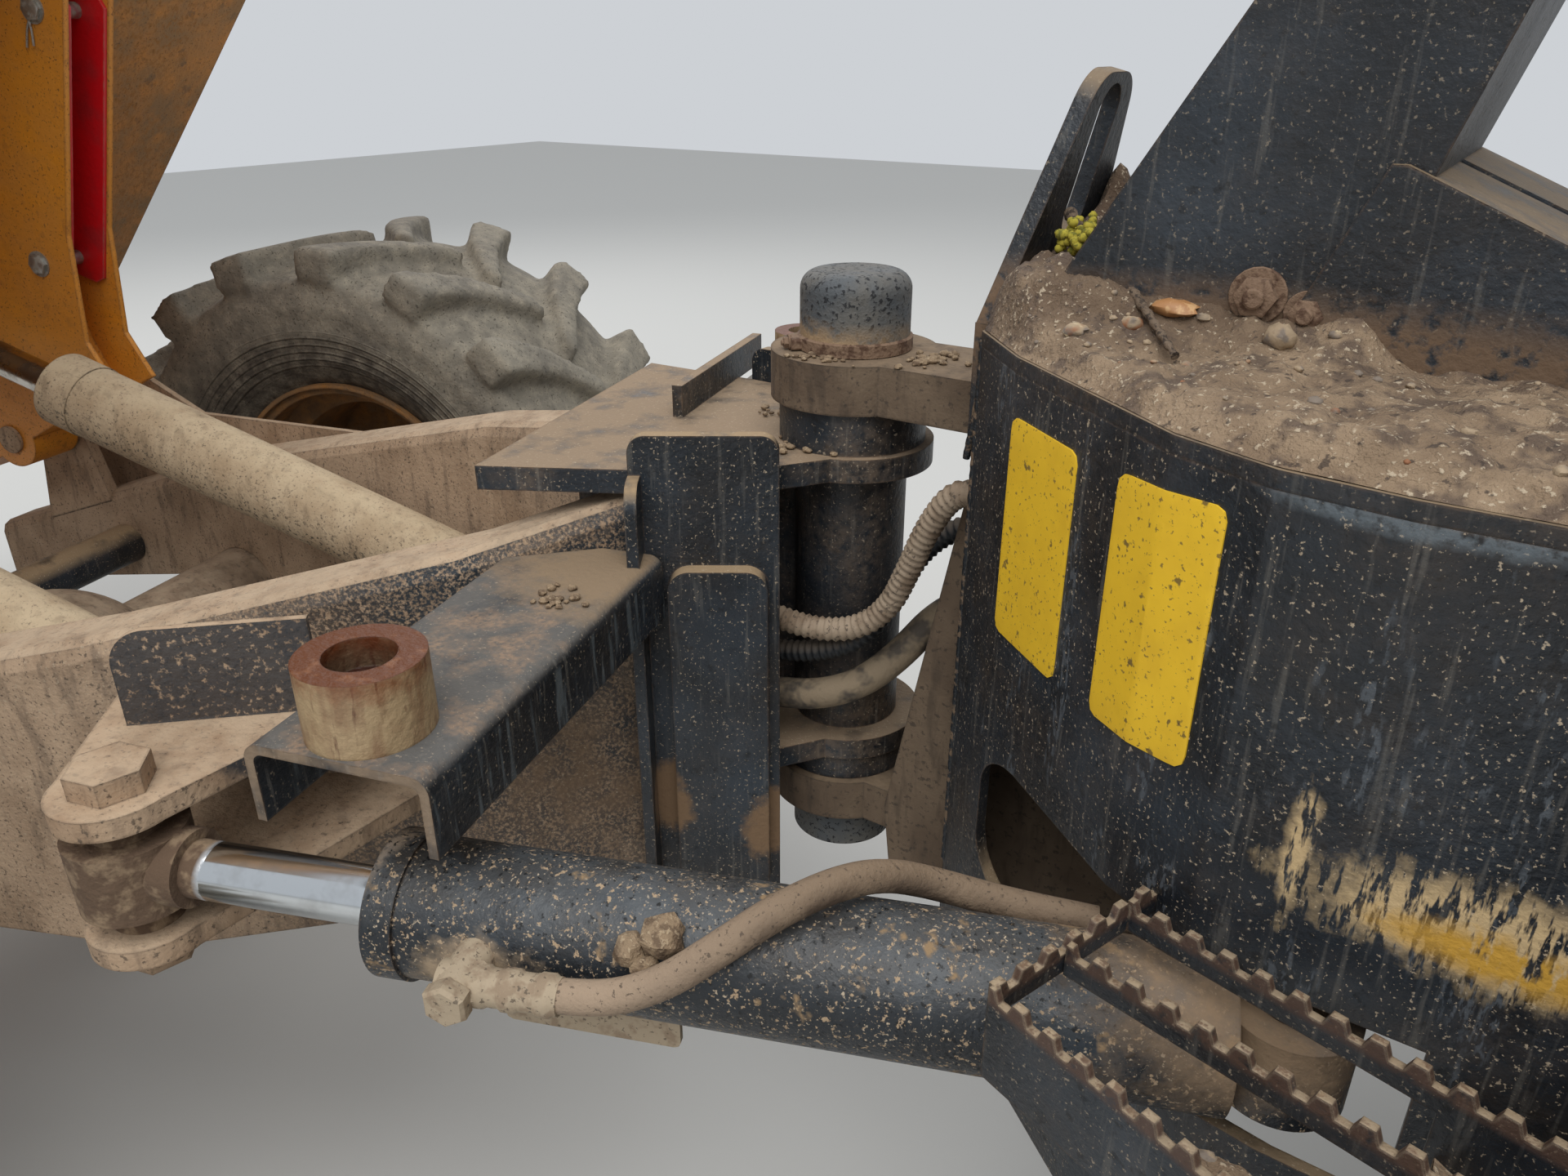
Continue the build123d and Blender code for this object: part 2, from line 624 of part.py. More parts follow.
def steer_rod():
    """The steering ram's rod, its cast eye and the pin between the ears."""
    base, end = (*RAM_BASE, RAM_Z), steer_end()
    length = (Vector(*end) - Vector(*base)).length
    rod = bar(tuple(along(base, end, length - RAM_ROD)), end, RAM_ROD_R)
    neck = bar(tuple(along(base, end, length - 62)), end, 34)
    z0, z1 = EAR_LOW_Z0 + EAR_T + SEAT_GAP, EAR_UP_Z0 - SEAT_GAP
    eye = bar((end[0], end[1], RAM_Z - 34), (end[0], end[1], RAM_Z + 34), RAM_EYE_R)
    pin = bar((end[0], end[1], z0), (end[0], end[1], z1), 30)
    return rod + neck + eye + pin


def on_ram(distance, aside, above):
    """A point beside the steering ram: along its axis from the base, to its left and above."""
    base, end = Vector(*RAM_BASE, RAM_Z), Vector(*steer_end())
    run = (end - base).normalized()
    left = Vector(-run.Y, run.X, 0)
    point = base + run * distance + left * aside + Vector(0, 0, above)
    return (point.X, point.Y, point.Z)


def ram_hose():
    """The hose that lies over the steering ram's barrel, with its elbow, collar and a skid plate."""
    elbow = bar(on_ram(585, RAM_BARREL_R - 4, 8), on_ram(585, RAM_BARREL_R + 42, 8), 17)
    collar = bar(on_ram(600, RAM_BARREL_R + 24, 8), on_ram(508, RAM_BARREL_R + 19, 6), 16)
    points = [
        on_ram(515, 76, 6),
        on_ram(470, 76, 12),
        on_ram(430, 70, 30),
        on_ram(394, 54, 54),
        on_ram(358, 28, 73),
        on_ram(322, -4, 78),
        on_ram(290, -34, 69),
        on_ram(254, -60, 46),
        on_ram(200, -70, 28),
        on_ram(128, -70, 22),
    ]
    tube = hose("ram hose", points, HOSE_R)
    guard = bar(on_ram(440, 12, -RAM_BARREL_R - 16), on_ram(590, 12, -RAM_BARREL_R - 16), 24)
    guard = guard & (Pos(0, 0, RAM_Z - RAM_BARREL_R - 44) * Box(3000, 3000, 88))
    return elbow + collar + tube + guard


def pivot_hoses():
    """The three hoses that pass round the pivot's post from the nose to the front chassis."""
    ends = (BULKHEAD_X - SEAT_GAP, 50)
    tan = [
        (NOSE_X + SEAT_GAP, 100, 1142),
        (-172, 100, 1142),
        (-144, 95, 1100),
        (-121, 88, 1044),
        (-98, 84, 992),
        (-66, 95, 964),
        (-22, 109, 958),
        (30, 118, 966),
        front_point(112, 88, 980),
        front_point(170, ends[1], 985),
        front_point(*ends, 985),
    ]
    black = [
        (HOSE_WALL_X, 20, 1094),
        (-280, 20, 1094),
        (-162, 24, 1086),
        (-112, 36, 1050),
        (-92, 52, 1000),
        (-66, 74, 944),
        (-28, 92, 926),
        (22, 100, 914),
        front_point(110, 86, 914),
        front_point(170, ends[1], 918),
        front_point(*ends, 918),
    ]
    thick = [
        (HOSE_WALL_X, -20, 1000),
        (-280, -20, 1000),
        (-165, -18, 990),
        (-116, 4, 958),
        (-94, 40, 920),
        (-66, 76, 890),
        (-24, 97, 872),
        (28, 104, 862),
        front_point(108, 84, 855),
        front_point(168, ends[1], 852),
        front_point(*ends, 852),
    ]
    return Compound([
        hose("tan pivot hose", tan, 13),
        hose("black pivot hose", black, 12),
        hose("thick pivot hose", thick, 17),
    ])


def nose_outline():
    """Half of the rear body's outline, from the nose back along its left side."""
    return [(NOSE_X, NOSE_Y), (-261, 198), (-420, 326), (-488, 357), (-560, 367), (SKIRT_END, BODY_Y)]


def nose_skirt():
    """The plate skirt round the front of the rear chassis, with the ram's opening."""
    left = nose_outline()
    points = [(x, -y) for x, y in reversed(left)] + left
    inner = []
    for x, y in reversed(left):
        inner.append((x - (0 if x == SKIRT_END else SKIRT_T), y - SKIRT_T))
    inner_right = [(x, -y) for x, y in reversed(inner)]
    return plan(points + inner + inner_right, SKIRT_Z0, DECK_Z - DECK_T)


def ram_opening():
    """The way into the nose for the steering ram, rounded at its front top corner."""
    top = RAM_Z + RAM_BARREL_R + 10
    bottom = RAM_Z - RAM_BARREL_R - 18
    way = block(-640, RAM_HOLE_X, 150, 500, bottom, top)
    front_edges = way.edges().filter_by(Axis.Y).group_by(Axis.X)[-1]
    return fillet(front_edges, 45)


def deck():
    """The deck plate with its wings over the rear wheels."""
    side = BONNET_Y + 10
    wing = [(-860, BODY_Y), (-900, WING_Y), (BONNET_X0, WING_Y), (BONNET_X0, side), (FRAME_END, side)]
    left = nose_outline()[:-1] + wing
    points = [(x, -y) for x, y in reversed(left)] + left
    bay = block(BAY_X0, BAY_X1, -BAY_Y, BAY_Y, DECK_Z - DECK_T - 1, DECK_Z + 1)
    return plan(points, DECK_Z - DECK_T, DECK_Z) - bay


def pivot_lugs():
    """The upper and lower lugs that reach forward from the nose, and the cheeks behind them."""
    lugs = None
    for z0, back in ((LUG_UP_Z0, -230), (LUG_LOW_Z1 - LUG_T, -230)):
        arm = plan([(0, -60), (0, 60), (back, 60), (back, -60)], z0, z0 + LUG_T)
        lug = arm + Pos(0, 0, z0 + LUG_T / 2) * Cylinder(LUG_RING_R, LUG_T)
        lug = lug - Pos(0, 0, z0 + LUG_T / 2) * Cylinder(PIN_R, LUG_T + 2)
        lugs = lug if lugs is None else lugs + lug
    cheek_plate = side_plate([(-200, 1280), (-420, 1280), (-420, 640), (-110, 640), (-98, 740)], 62, 74)
    spine = side_plate([(-196, 1280), (-420, 1280), (-420, 640), (-150, 640), (-196, 760)], -62, 62)
    return lugs + cheek_plate + mirrored(cheek_plate) + (spine - hose_way())


def hose_way():
    """The way through the nose's front for the hoses."""
    return block(SPINE_HOLE_X, -190, -50, 50, 780, 1160)


def pivot_pin():
    """The pivot pin with its domed cap above and plain cap below."""
    z_top = LUG_UP_Z0 + LUG_T
    shaft = bar((0, 0, CAP_LOW_Z0), (0, 0, z_top), PIN_R)
    dome = Pos(0, 0, z_top) * extrude(Circle(DOME_R), DOME_TOP - z_top)
    dome = fillet(dome.edges().group_by(Axis.Z)[-1], 18)
    cap = Pos(0, 0, CAP_LOW_Z0 - 12) * extrude(Circle(60), LUG_LOW_Z1 - LUG_T - CAP_LOW_Z0 + 12)
    return shaft + dome + cap


def sling_plate():
    """The slotted lifting plate, which stands down the front of the nose and leans back above it."""
    outline = [(-112, -8), (112, -8), (40, SLING_H), (-40, SLING_H)]
    plate = extrude(make_face(Polyline(*outline, close=True)), SLING_T)
    plate = fillet(plate.edges().filter_by(Axis.Z).sort_by(Axis.Y)[-2:], 36)
    slot = Pos(0, SLING_SLOT, -1) * extrude(SlotOverall(128, 46, rotation=90), SLING_T + 2)
    lean = math.radians(SLING_LEAN)
    stand = Plane(origin=(NOSE_X, 0, DECK_Z), x_dir=(0, 1, 0), z_dir=(math.cos(lean), 0, math.sin(lean)))
    upper = stand * (plate - slot) - block(-400, -100, -300, 300, DECK_Z - 60, DECK_Z)
    lower = block(NOSE_X, NOSE_X + SLING_T, -112, 112, DECK_Z - 122, DECK_Z + 2)
    lower = fillet(lower.edges().filter_by(Axis.X).group_by(Axis.Z)[0], 26)
    way = block(NOSE_X - 10, 0, -61, 61, LUG_UP_Z0 - 20, LUG_UP_Z0 + LUG_T + FACE_GAP)
    return upper + lower - way


def toothed(plate_run, thickness):
    """One edge plate of the step along X, its top cut into gripping teeth."""
    plate = Pos(plate_run / 2, 0, -TRAY_DEPTH / 2) * Box(plate_run, thickness, TRAY_DEPTH)
    teeth = int(plate_run / TOOTH_PITCH)
    # half outline of one gap between two teeth, seen from the side
    gap = [(-8, 1), (8, 1), (4, -TOOTH_DEPTH), (-4, -TOOTH_DEPTH)]
    cuts = []
    for index in range(teeth):
        middle = (index + 0.5) * TOOTH_PITCH
        cuts.append(side_plate([(middle + x, z) for x, z in gap], -thickness, thickness))
    return plate.cut(*cuts) if cuts else plate


def step_tray():
    """The left step tray with toothed edges over the steering ram, and the low step below it."""
    # start and end of each toothed edge plate
    edges = [
        ((-470, 312), (-405, 498)),
        ((-450, 371), (TRAY_END, 441)),
        ((-431, 436), (TRAY_END, 504)),
        ((-405, 498), (TRAY_END, 618)),
        ((TRAY_END, 350), (TRAY_END, 620)),
    ]
    z0 = TRAY_Z - TRAY_DEPTH
    tray = plan([(-655, 372), (TRAY_END, 372), (TRAY_END, 618), (-655, 588)], z0, z0 + TRAY_WALL)
    for (xa, ya), (xb, yb) in edges:
        run = math.hypot(xb - xa, yb - ya)
        turn = math.degrees(math.atan2(yb - ya, xb - xa))
        tray = tray + Pos(xa, ya, TRAY_Z) * toothed(run, TRAY_WALL).rotate(Axis.Z, turn)
    ram_room = block(-650, -300, 200, 489, z0 - 1, RAM_Z + RAM_BARREL_R + 2 * HOSE_R - 8)
    hanger = block(TRAY_END, TRAY_END + 8, 372, 618, STEP_Z, z0 + 1)
    tread = block(TRAY_END, TRAY_END + STEP_L, 450, 640, STEP_Z, STEP_Z + 8)
    lips = block(TRAY_END + STEP_L - 8, TRAY_END + STEP_L, 450, 640, STEP_Z, STEP_Z + 60)
    edge = Pos(TRAY_END, 636, STEP_Z + TRAY_DEPTH) * toothed(STEP_L, 8)
    return tray - ram_room - nose_keep() + (hanger - nose_keep()) + tread + lips + edge


def nose_keep():
    """The room that the nose takes, so that what is fixed to it ends on its face."""
    left = nose_outline()
    points = [(x, -y) for x, y in reversed(left)] + left
    return plan(points, SKIRT_Z0 - 1, DECK_Z)


def console():
    """The steering console, which leans back from the deck."""
    # x, height over the deck
    outline = [(-237, 0), (-470, 0), (-560, 300), (-664, 540), (-590, 590)]
    outline = [(x, DECK_Z + rise) for x, rise in outline]
    lean = math.radians(WHEEL_LEAN)
    foot = []
    for down in (20 + SEAT_GAP, 170):
        foot.append((WHEEL_HUB[0] + down * math.sin(lean), 0, WHEEL_HUB[2] - down * math.cos(lean)))
    return side_plate(outline, -CONSOLE_Y, CONSOLE_Y) + bar(foot[1], foot[0], 22)


def foot_rest():
    """The left foot rest, a sloping box behind and beside the console."""
    # x, height over the deck
    outline = [(-424, 0), (-486, 147), (-496, 147), (-760, 34), (-760, 0)]
    outline = [(x, DECK_Z + rise) for x, rise in outline]
    rest = side_plate(outline, 12, CONSOLE_Y + 8)
    return rest - console()


def steering_wheel():
    """The steering wheel on its short column above the console."""
    ring = Torus(190, 15)
    hub = Cylinder(34, 40)
    spokes = None
    for turn in (90, 210, 330):
        spoke = (Pos(95, 0, 0) * Box(190, 26, 8)).rotate(Axis.Z, turn)
        spokes = spoke if spokes is None else spokes + spoke
    return ring + hub + spokes


def seat_base():
    """The seat's box on the deck."""
    box = block(-960, -1400, -230, 230, DECK_Z, DECK_Z + 260)
    return box + block(-1400, -1408, -180, 180, DECK_Z, DECK_Z + 620)


def seat_pad():
    """The seat cushion."""
    pad = block(-930, -1390, -235, 235, DECK_Z + 260 + SEAT_GAP, DECK_Z + 370)
    return fillet(pad.edges(), 24)


def seat_back():
    """The seat back."""
    back = block(-1408 - SEAT_GAP, -1500, -235, 235, DECK_Z + 380, DECK_Z + 820)
    return fillet(back.edges(), 24)


def rops():
    """The roll-over frame, two uprights and a top bar."""
    half = ROPS_TUBE / 2
    outer = block(ROPS_X - half, ROPS_X + half, -ROPS_Y - half, ROPS_Y + half, DECK_Z, ROPS_TOP)
    outer = fillet(outer.edges().filter_by(Axis.X).group_by(Axis.Z)[-1], 130)
    clear = ROPS_Y - half
    hole = block(ROPS_X - half - 1, ROPS_X + half + 1, -clear, clear, DECK_Z - 1, ROPS_TOP - ROPS_TUBE)
    hole = fillet(hole.edges().filter_by(Axis.X).group_by(Axis.Z)[-1], 60)
    foot = block(ROPS_X - 75, ROPS_X + 95, ROPS_Y - 75, ROPS_Y + 90, DECK_Z, DECK_Z + 14)
    return outer - hole + foot + mirrored(foot)


def engine():
    """The engine as one plain block."""
    return block(BAY_X0 - 10, BAY_X1 + 20, -250, 250, ENGINE_Z0, DECK_Z - DECK_T - 3)


def rear_frame():
    """The two side plates and the cross plates that carry the engine and the axle."""
    start = SKIRT_END + 4
    outline = [(start, 620), (start, 860), (FRAME_END, 860), (FRAME_END, 560), (-1900, 560)]
    left = side_plate(outline, BODY_Y - 30, BODY_Y - 8)
    left = left - bar((REAR_AXLE_X, 300, TYRE_R), (REAR_AXLE_X, 400, TYRE_R), AXLE_R + FACE_GAP)
    cross_a = block(-900, -880, -BODY_Y + 8, BODY_Y - 8, 640, 860)
    cross_b = block(BAY_X0, BAY_X1, -BODY_Y + 8, BODY_Y - 8, ENGINE_Z0 - 20, ENGINE_Z0)
    return left + mirrored(left) + cross_a + cross_b


def counterweight():
    """The rear casting with its towing jaw."""
    weight = block(FRAME_END, FRAME_END - 110, -560, 560, 560, DECK_Z - DECK_T)
    weight = fillet(weight.edges().filter_by(Axis.Z).group_by(Axis.X)[0], 60)
    jaw = block(FRAME_END - 110, TOW_X - 45, -50, 50, TOW_Z - TOW_H / 2, TOW_Z + TOW_H / 2)
    gap = block(FRAME_END - 112, TOW_X - 46, -60, 60, TOW_Z - 22, TOW_Z + 22)
    bore = bar((TOW_X, 0, TOW_Z - TOW_H), (TOW_X, 0, TOW_Z + TOW_H), TOW_R)
    return weight + (jaw - gap - bore)


def bonnet():
    """The engine bonnet, a hollow cover with louvres in its sides and its rear face."""
    outer = block(BONNET_X0, BONNET_X1, -BONNET_Y, BONNET_Y, DECK_Z + SEAT_GAP, BONNET_TOP)
    outer = fillet(outer.edges().group_by(Axis.Z)[-1], 60)
    x0, x1, wide = BONNET_X0 - SHEET, BONNET_X1 + SHEET, BONNET_Y - SHEET
    inner = block(x0, x1, -wide, wide, DECK_Z - 3, BONNET_TOP - SHEET)
    inner = fillet(inner.edges().group_by(Axis.Z)[-1], 56)
    cover = outer - inner
    middle = (BONNET_X0 + BONNET_X1) / 2
    slats = []
    for index in range(SLAT_COUNT):
        z0 = DECK_Z + 90 + index * SLAT_PITCH
        slats.append(block(middle - 150, middle + 150, -BONNET_Y - 1, BONNET_Y + 1, z0, z0 + SLAT_H))
        slats.append(block(BONNET_X1 - 1, BONNET_X1 + SHEET + 1, -300, 300, z0, z0 + SLAT_H))
    return cover.cut(*slats)


def tank():
    """The left tank between the body and the wheel."""
    body = block(-850, -1340, BODY_Y + 2, TANK_Y, 760, DECK_Z - DECK_T)
    return fillet(body.edges().filter_by(Axis.X), 30)


def fender():
    """The left mudguard over the rear wheel."""
    radius = TYRE_R + FENDER_GAP
    ring = Rot(90, 0, 0) * (Cylinder(radius, 580) - Cylinder(radius - SHEET, 582))
    ring = Pos(REAR_AXLE_X, 620 + 290, TYRE_R) * ring
    keep = block(REAR_AXLE_X - 800, REAR_AXLE_X + 800, 600, 1300, TYRE_R + 330, TYRE_R + 800)
    return ring & keep


def lamps():
    """Work lamps on the roll-over frame."""
    left = Pos(ROPS_X + 70, ROPS_Y - 20, ROPS_TOP - 160) * Box(60, 110, 110)
    return both(left)


def stack():
    """The exhaust stack on the right wing, with its silencer and rain cap."""
    x, y = ROPS_X + 190, -(ROPS_Y + WING_Y) / 2
    pipe = bar((x, y, DECK_Z), (x, y, DECK_Z + 780), STACK_R)
    silencer = bar((x, y, DECK_Z + 120), (x, y, DECK_Z + 520), STACK_R * 1.9)
    outlet = bar((x, y, DECK_Z + 700), (x, y, DECK_Z + 781), STACK_R - 4)
    return pipe + silencer - outlet


def handrails():
    """The left handrail beside the seat, one bent tube."""
    y = BODY_Y - 40
    points = [(-850, y, DECK_Z), (-850, y, DECK_Z + 430), (-1250, y, DECK_Z + 450), (-1250, y, DECK_Z)]
    path = FilletPolyline(*points, radius=90)
    start = Plane(origin=points[0], z_dir=Vector(*points[1]) - Vector(*points[0]))
    return sweep(start * Circle(HANDRAIL_R), path=path)


def beacon():
    """The beacon on the roll-over frame."""
    return Pos(ROPS_X, 300, ROPS_TOP) * extrude(Circle(60), 150)


def lock_bar():
    """The red bar that locks the pivot for transport, stowed on the right."""
    (xr, yr), (xf, yf) = CHEEK_REAR, CHEEK_FRONT
    flare = math.degrees(math.atan2(yf - yr, xf - xr))
    bar_body = Pos(40, 6, 1135) * Box(170, 12, 40)
    return mirrored(Pos(xr, yr, 0) * bar_body.rotate(Axis.Z, flare))


def skip_prop():
    """The left red skip prop, a channel stowed in the arm and held there by two pins."""
    y0 = ARM_Y - ARM_W / 2 + ARM_PLATE + SEAT_GAP
    y1 = ARM_Y + ARM_W / 2 - ARM_PLATE - SEAT_GAP
    # distance along the arm's edge, depth behind it
    outline = [(0, 60), (0, 14), (12, 2), (446, 2), (458, 16), (458, 58), (444, PROP_DEPTH), (14, PROP_DEPTH)]
    web = PROP_DEPTH - PROP_T
    hollow = [(-5, -5), (470, -5), (470, 90), (415, 90), (415, web), (42, web), (42, 90), (-5, 90)]
    prop = side_plate([arm_point(*p) for p in outline], y0, y1)
    prop = prop - side_plate([arm_point(*p) for p in hollow], y0 + PROP_T, y1 - PROP_T)
    for pin in PROP_PINS:
        x, z = arm_point(*pin)
        prop = prop + bar((x, ARM_Y - ARM_W / 2 - 2, z), (x, ARM_Y + ARM_W / 2 + 16, z), PROP_PIN_R)
    return prop


def build():
    """Every node with its solids in the rear chassis's axes."""
    one_tyre, one_rim, one_axle = tyre(), rim(), axle()
    left_rail = rail() - tail() - cheek()
    nodes = {
        "nose_skirt": nose_skirt() - pivot_lugs() - ram_opening() - hose_way(),
        "deck": deck(),
        "pivot_lugs": pivot_lugs(),
        "pivot_pin": pivot_pin(),
        "sling_plate": sling_plate() - pivot_lugs(),
        "step_tray_left": step_tray(),
        "step_tray_right": mirrored(step_tray()),
        "console": console(),
        "foot_rests": both(foot_rest()),
        "seat_base": seat_base(),
        "seat_pad": seat_pad(),
        "seat_back": seat_back(),
        "rops": rops(),
        "engine": engine(),
        "rear_frame": rear_frame() - nose_skirt(),
        "counterweight": counterweight(),
        "tanks": both(tank()),
        "fenders": both(fender()),
        "lamps": lamps(),
        "beacon": beacon(),
        "rear_axle": Pos(REAR_AXLE_X, 0, 0) * one_axle,
        "bonnet": bonnet(),
        "steering_wheel": Pos(*WHEEL_HUB) * steering_wheel().rotate(Axis.Y, -WHEEL_LEAN),
        "stack": stack(),
        "handrails": both(handrails()),
        "pivot_hoses": pivot_hoses(),
        "ram_hose": ram_hose() - steer_barrel(),
        "steer_barrel": steer_barrel(),
        "steer_rod": steer_rod(),
    }
    front = {
        "front_tail": tail(),
        "cheek_left": cheek(),
        "cheek_right": mirrored(cheek()),
        "rail_left": left_rail,
        "rail_right": mirrored(left_rail),
        "outriggers": both(outrigger() - cheek() - left_rail),
        "buffers": both(buffer()),
        "ram_ears": ears() - left_rail,
        "cross_members": cross_members() - left_rail - mirrored(left_rail),
        "skip_pivots": both(pivot_ear() - left_rail),
        "front_axle": Pos(FRONT_AXLE_X, 0, 0) * one_axle,
        "lock_bar": lock_bar(),
        "skip_bowl": tipped(skip_bowl()),
        "skip_arms": tipped(both(skip_arm())),
        "skip_ram_lugs": tipped(Compound([ram_lugs(), mirrored(ram_lugs())])),
        "skip_props": tipped(both(skip_prop())),
        "tip_barrels": both(tip_barrel()),
        "tip_rods": both(tip_rod()),
    }
    for end, x in (("front", FRONT_AXLE_X), ("rear", REAR_AXLE_X)):
        for side_name, side in (("left", 1), ("right", -1)):
            group = front if end == "front" else nodes
            group[f"tyre_{end}_{side_name}"] = wheel_at(one_tyre, x, side)
            group[f"rim_{end}_{side_name}"] = wheel_at(one_rim, x, side)
    for name, shape in front.items():
        nodes[name] = steered(shape)
    return nodes


NODES = build()
whole = Compound([shape for shape in NODES.values()]).bounding_box()
ORIGIN = ((whole.min.X + whole.max.X) / 2, (whole.min.Y + whole.max.Y) / 2, whole.min.Z)
for name, shape in NODES.items():
    placed = Pos(-ORIGIN[0], -ORIGIN[1], -ORIGIN[2]) * shape
    export_step(placed, f"parts/{name}.step")
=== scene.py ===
import bmesh
import bpy
import json
import math
import numpy as np
from mathutils import Matrix, Vector


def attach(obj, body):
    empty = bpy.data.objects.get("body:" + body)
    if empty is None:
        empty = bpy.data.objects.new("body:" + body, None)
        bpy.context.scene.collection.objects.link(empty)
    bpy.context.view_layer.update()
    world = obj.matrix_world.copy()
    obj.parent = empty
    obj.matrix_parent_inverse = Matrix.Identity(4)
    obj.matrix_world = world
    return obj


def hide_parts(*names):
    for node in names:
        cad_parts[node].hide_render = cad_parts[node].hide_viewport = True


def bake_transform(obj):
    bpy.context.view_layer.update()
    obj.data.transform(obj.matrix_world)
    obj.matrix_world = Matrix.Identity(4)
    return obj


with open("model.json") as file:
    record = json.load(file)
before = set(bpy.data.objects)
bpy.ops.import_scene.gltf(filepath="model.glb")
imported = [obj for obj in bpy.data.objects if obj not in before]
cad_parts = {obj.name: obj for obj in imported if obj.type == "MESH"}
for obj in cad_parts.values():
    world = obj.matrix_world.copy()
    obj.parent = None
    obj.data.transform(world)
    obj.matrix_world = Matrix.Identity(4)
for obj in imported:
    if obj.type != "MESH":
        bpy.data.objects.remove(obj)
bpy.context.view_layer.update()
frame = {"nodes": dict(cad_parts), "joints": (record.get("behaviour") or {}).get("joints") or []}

# The two chassis. Both are drawn straight, in millimetres from the foot of the pivot, X forward,
# Y to the left and Z up. The rear one lies along the row's own X, the front one is turned to the
# lock that the machine stands at.
JOINTS = {joint["name"]: joint for joint in frame["joints"]}
pivot_foot = np.array(JOINTS["articulation"]["pos_m"]) * (1, 1, 0)
skip_axis = JOINTS["skip_tip"]["axis"]
lock = math.atan2(-skip_axis[0], skip_axis[1])
ahead, left, up, down = (1, 0, 0), (0, 1, 0), (0, 0, 1), (0, 0, -1)


def rear(points):
    """Millimetres in the rear chassis's axes as metres in the row frame: divided and shifted."""
    return np.asarray(points, float) / 1000 + pivot_foot


def front(points):
    """Millimetres in the front chassis's axes as metres in the row frame: turned by the lock about Z."""
    points = np.asarray(points, float)
    x = points[..., 0] * math.cos(lock) - points[..., 1] * math.sin(lock)
    y = points[..., 0] * math.sin(lock) + points[..., 1] * math.cos(lock)
    return np.stack([x, y, points[..., 2]], -1) / 1000 + pivot_foot


# The ground, the light and the camera. The photographer stands on the left beside the pivot and
# looks down and forward across the machine, with a phone's main lens.
camera_place = (-599, 1019, 1515)
camera_heading = 34.0
camera_pitch = 25.3
focal_px = 1400.0
image_px = 1920.0
sensor_mm = 36.0
camera_data = bpy.data.cameras.new("camera")
camera_data.sensor_width = sensor_mm
camera_data.lens = focal_px / image_px * sensor_mm
camera_data.clip_start = 0.02
camera = bpy.data.objects.new("camera", camera_data)
bpy.context.scene.collection.objects.link(camera)
heading, pitch = math.radians(camera_heading), math.radians(camera_pitch)
look = Vector((math.sin(heading) * math.cos(pitch), -math.cos(heading) * math.cos(pitch), -math.sin(pitch)))
camera_turn = look.to_track_quat("-Z", "Y").to_matrix().to_4x4()
camera.matrix_world = Matrix.Translation(Vector(rear(camera_place))) @ camera_turn
bpy.context.scene.camera = camera
bpy.context.scene.view_settings.view_transform = "Standard"


def linear(code):
    """An sRGB hex colour as linear RGBA, by the sRGB curve on each channel."""
    levels = np.array([int(code[i:i + 2], 16) for i in (1, 3, 5)]) / 255
    curve = np.where(levels <= 0.04045, levels / 12.92, ((levels + 0.055) / 1.055) ** 2.4)
    return (*curve.tolist(), 1.0)


def node(material, kind, settings=None, **links):
    """Adds one node, sets its attributes, and fills its sockets with values or other nodes' outputs."""
    made = material.node_tree.nodes.new("ShaderNode" + kind)
    for name, value in (settings or {}).items():
        setattr(made, name, value)
    for name, value in links.items():
        key = int(name[1:]) if name[0] == "i" and name[1:].isdigit() else name.replace("_", " ")
        socket = made.inputs[key]
        if isinstance(value, bpy.types.NodeSocket):
            material.node_tree.links.new(value, socket)
        else:
            socket.default_value = value
    return made


floor_size = 30.0
floor_mesh = bpy.data.meshes.new("floor")
half = floor_size / 2
floor_corners = [(-half, -half, 0), (half, -half, 0), (half, half, 0), (-half, half, 0)]
floor_mesh.from_pydata(floor_corners, [], [(0, 1, 2, 3)])
floor = bpy.data.objects.new("floor", floor_mesh)
bpy.context.scene.collection.objects.link(floor)
floor_paint = bpy.data.materials.new("pale_floor")
floor_paint.use_nodes = True
floor_shader = floor_paint.node_tree.nodes["Principled BSDF"]
floor_shader.inputs["Base Color"].default_value = linear("#c9c8c4")
floor_shader.inputs["Roughness"].default_value = 0.9
floor_mesh.materials.append(floor_paint)

sky_strength = 0.75
world = bpy.data.worlds.new("soft_sky")
world.use_nodes = True
bpy.context.scene.world = world
world.node_tree.nodes["Background"].inputs["Color"].default_value = linear("#e9edf2")
world.node_tree.nodes["Background"].inputs["Strength"].default_value = sky_strength


def area_light(name, place, target, size, power):
    """One soft square lamp aimed at a point."""
    data = bpy.data.lights.new(name, "AREA")
    data.size = size
    data.energy = power
    lamp = bpy.data.objects.new(name, data)
    bpy.context.scene.collection.objects.link(lamp)
    aim = (Vector(target) - Vector(place)).to_track_quat("-Z", "Y")
    lamp.matrix_world = Matrix.Translation(Vector(place)) @ aim.to_matrix().to_4x4()


area_light("sky_panel", (-2, 3, 7), (0, 0, 1), 6, 420)
area_light("side_panel", (5, -4, 6), (0, 0, 1), 6, 200)


# The front chassis: welded plate and box rails of structural steel, sprayed with satin black
# enamel. Yard dust lies tan on all that looks up, rain has run it down the sides, and mud has
# spat specks over the rest. The enamel is bare and rusty along the sheared edges.
def spots(material, grain_mm, low, high, stretch=(1, 1, 1), at=(0, 0, 0)):
    """A mask of irregular spots: noise of this grain, cut softly between two levels."""
    place = node(material, "TexCoord").outputs["Object"]
    place = node(material, "Mapping", None, Vector=place, Location=at, Scale=stretch).outputs[0]
    noise = node(material, "TexNoise", None, Vector=place, Scale=1000 / grain_mm, Detail=3.0, Roughness=0.6)
    return node(material, "MapRange", None, Value=noise.outputs[0], From_Min=low, From_Max=high).outputs[0]


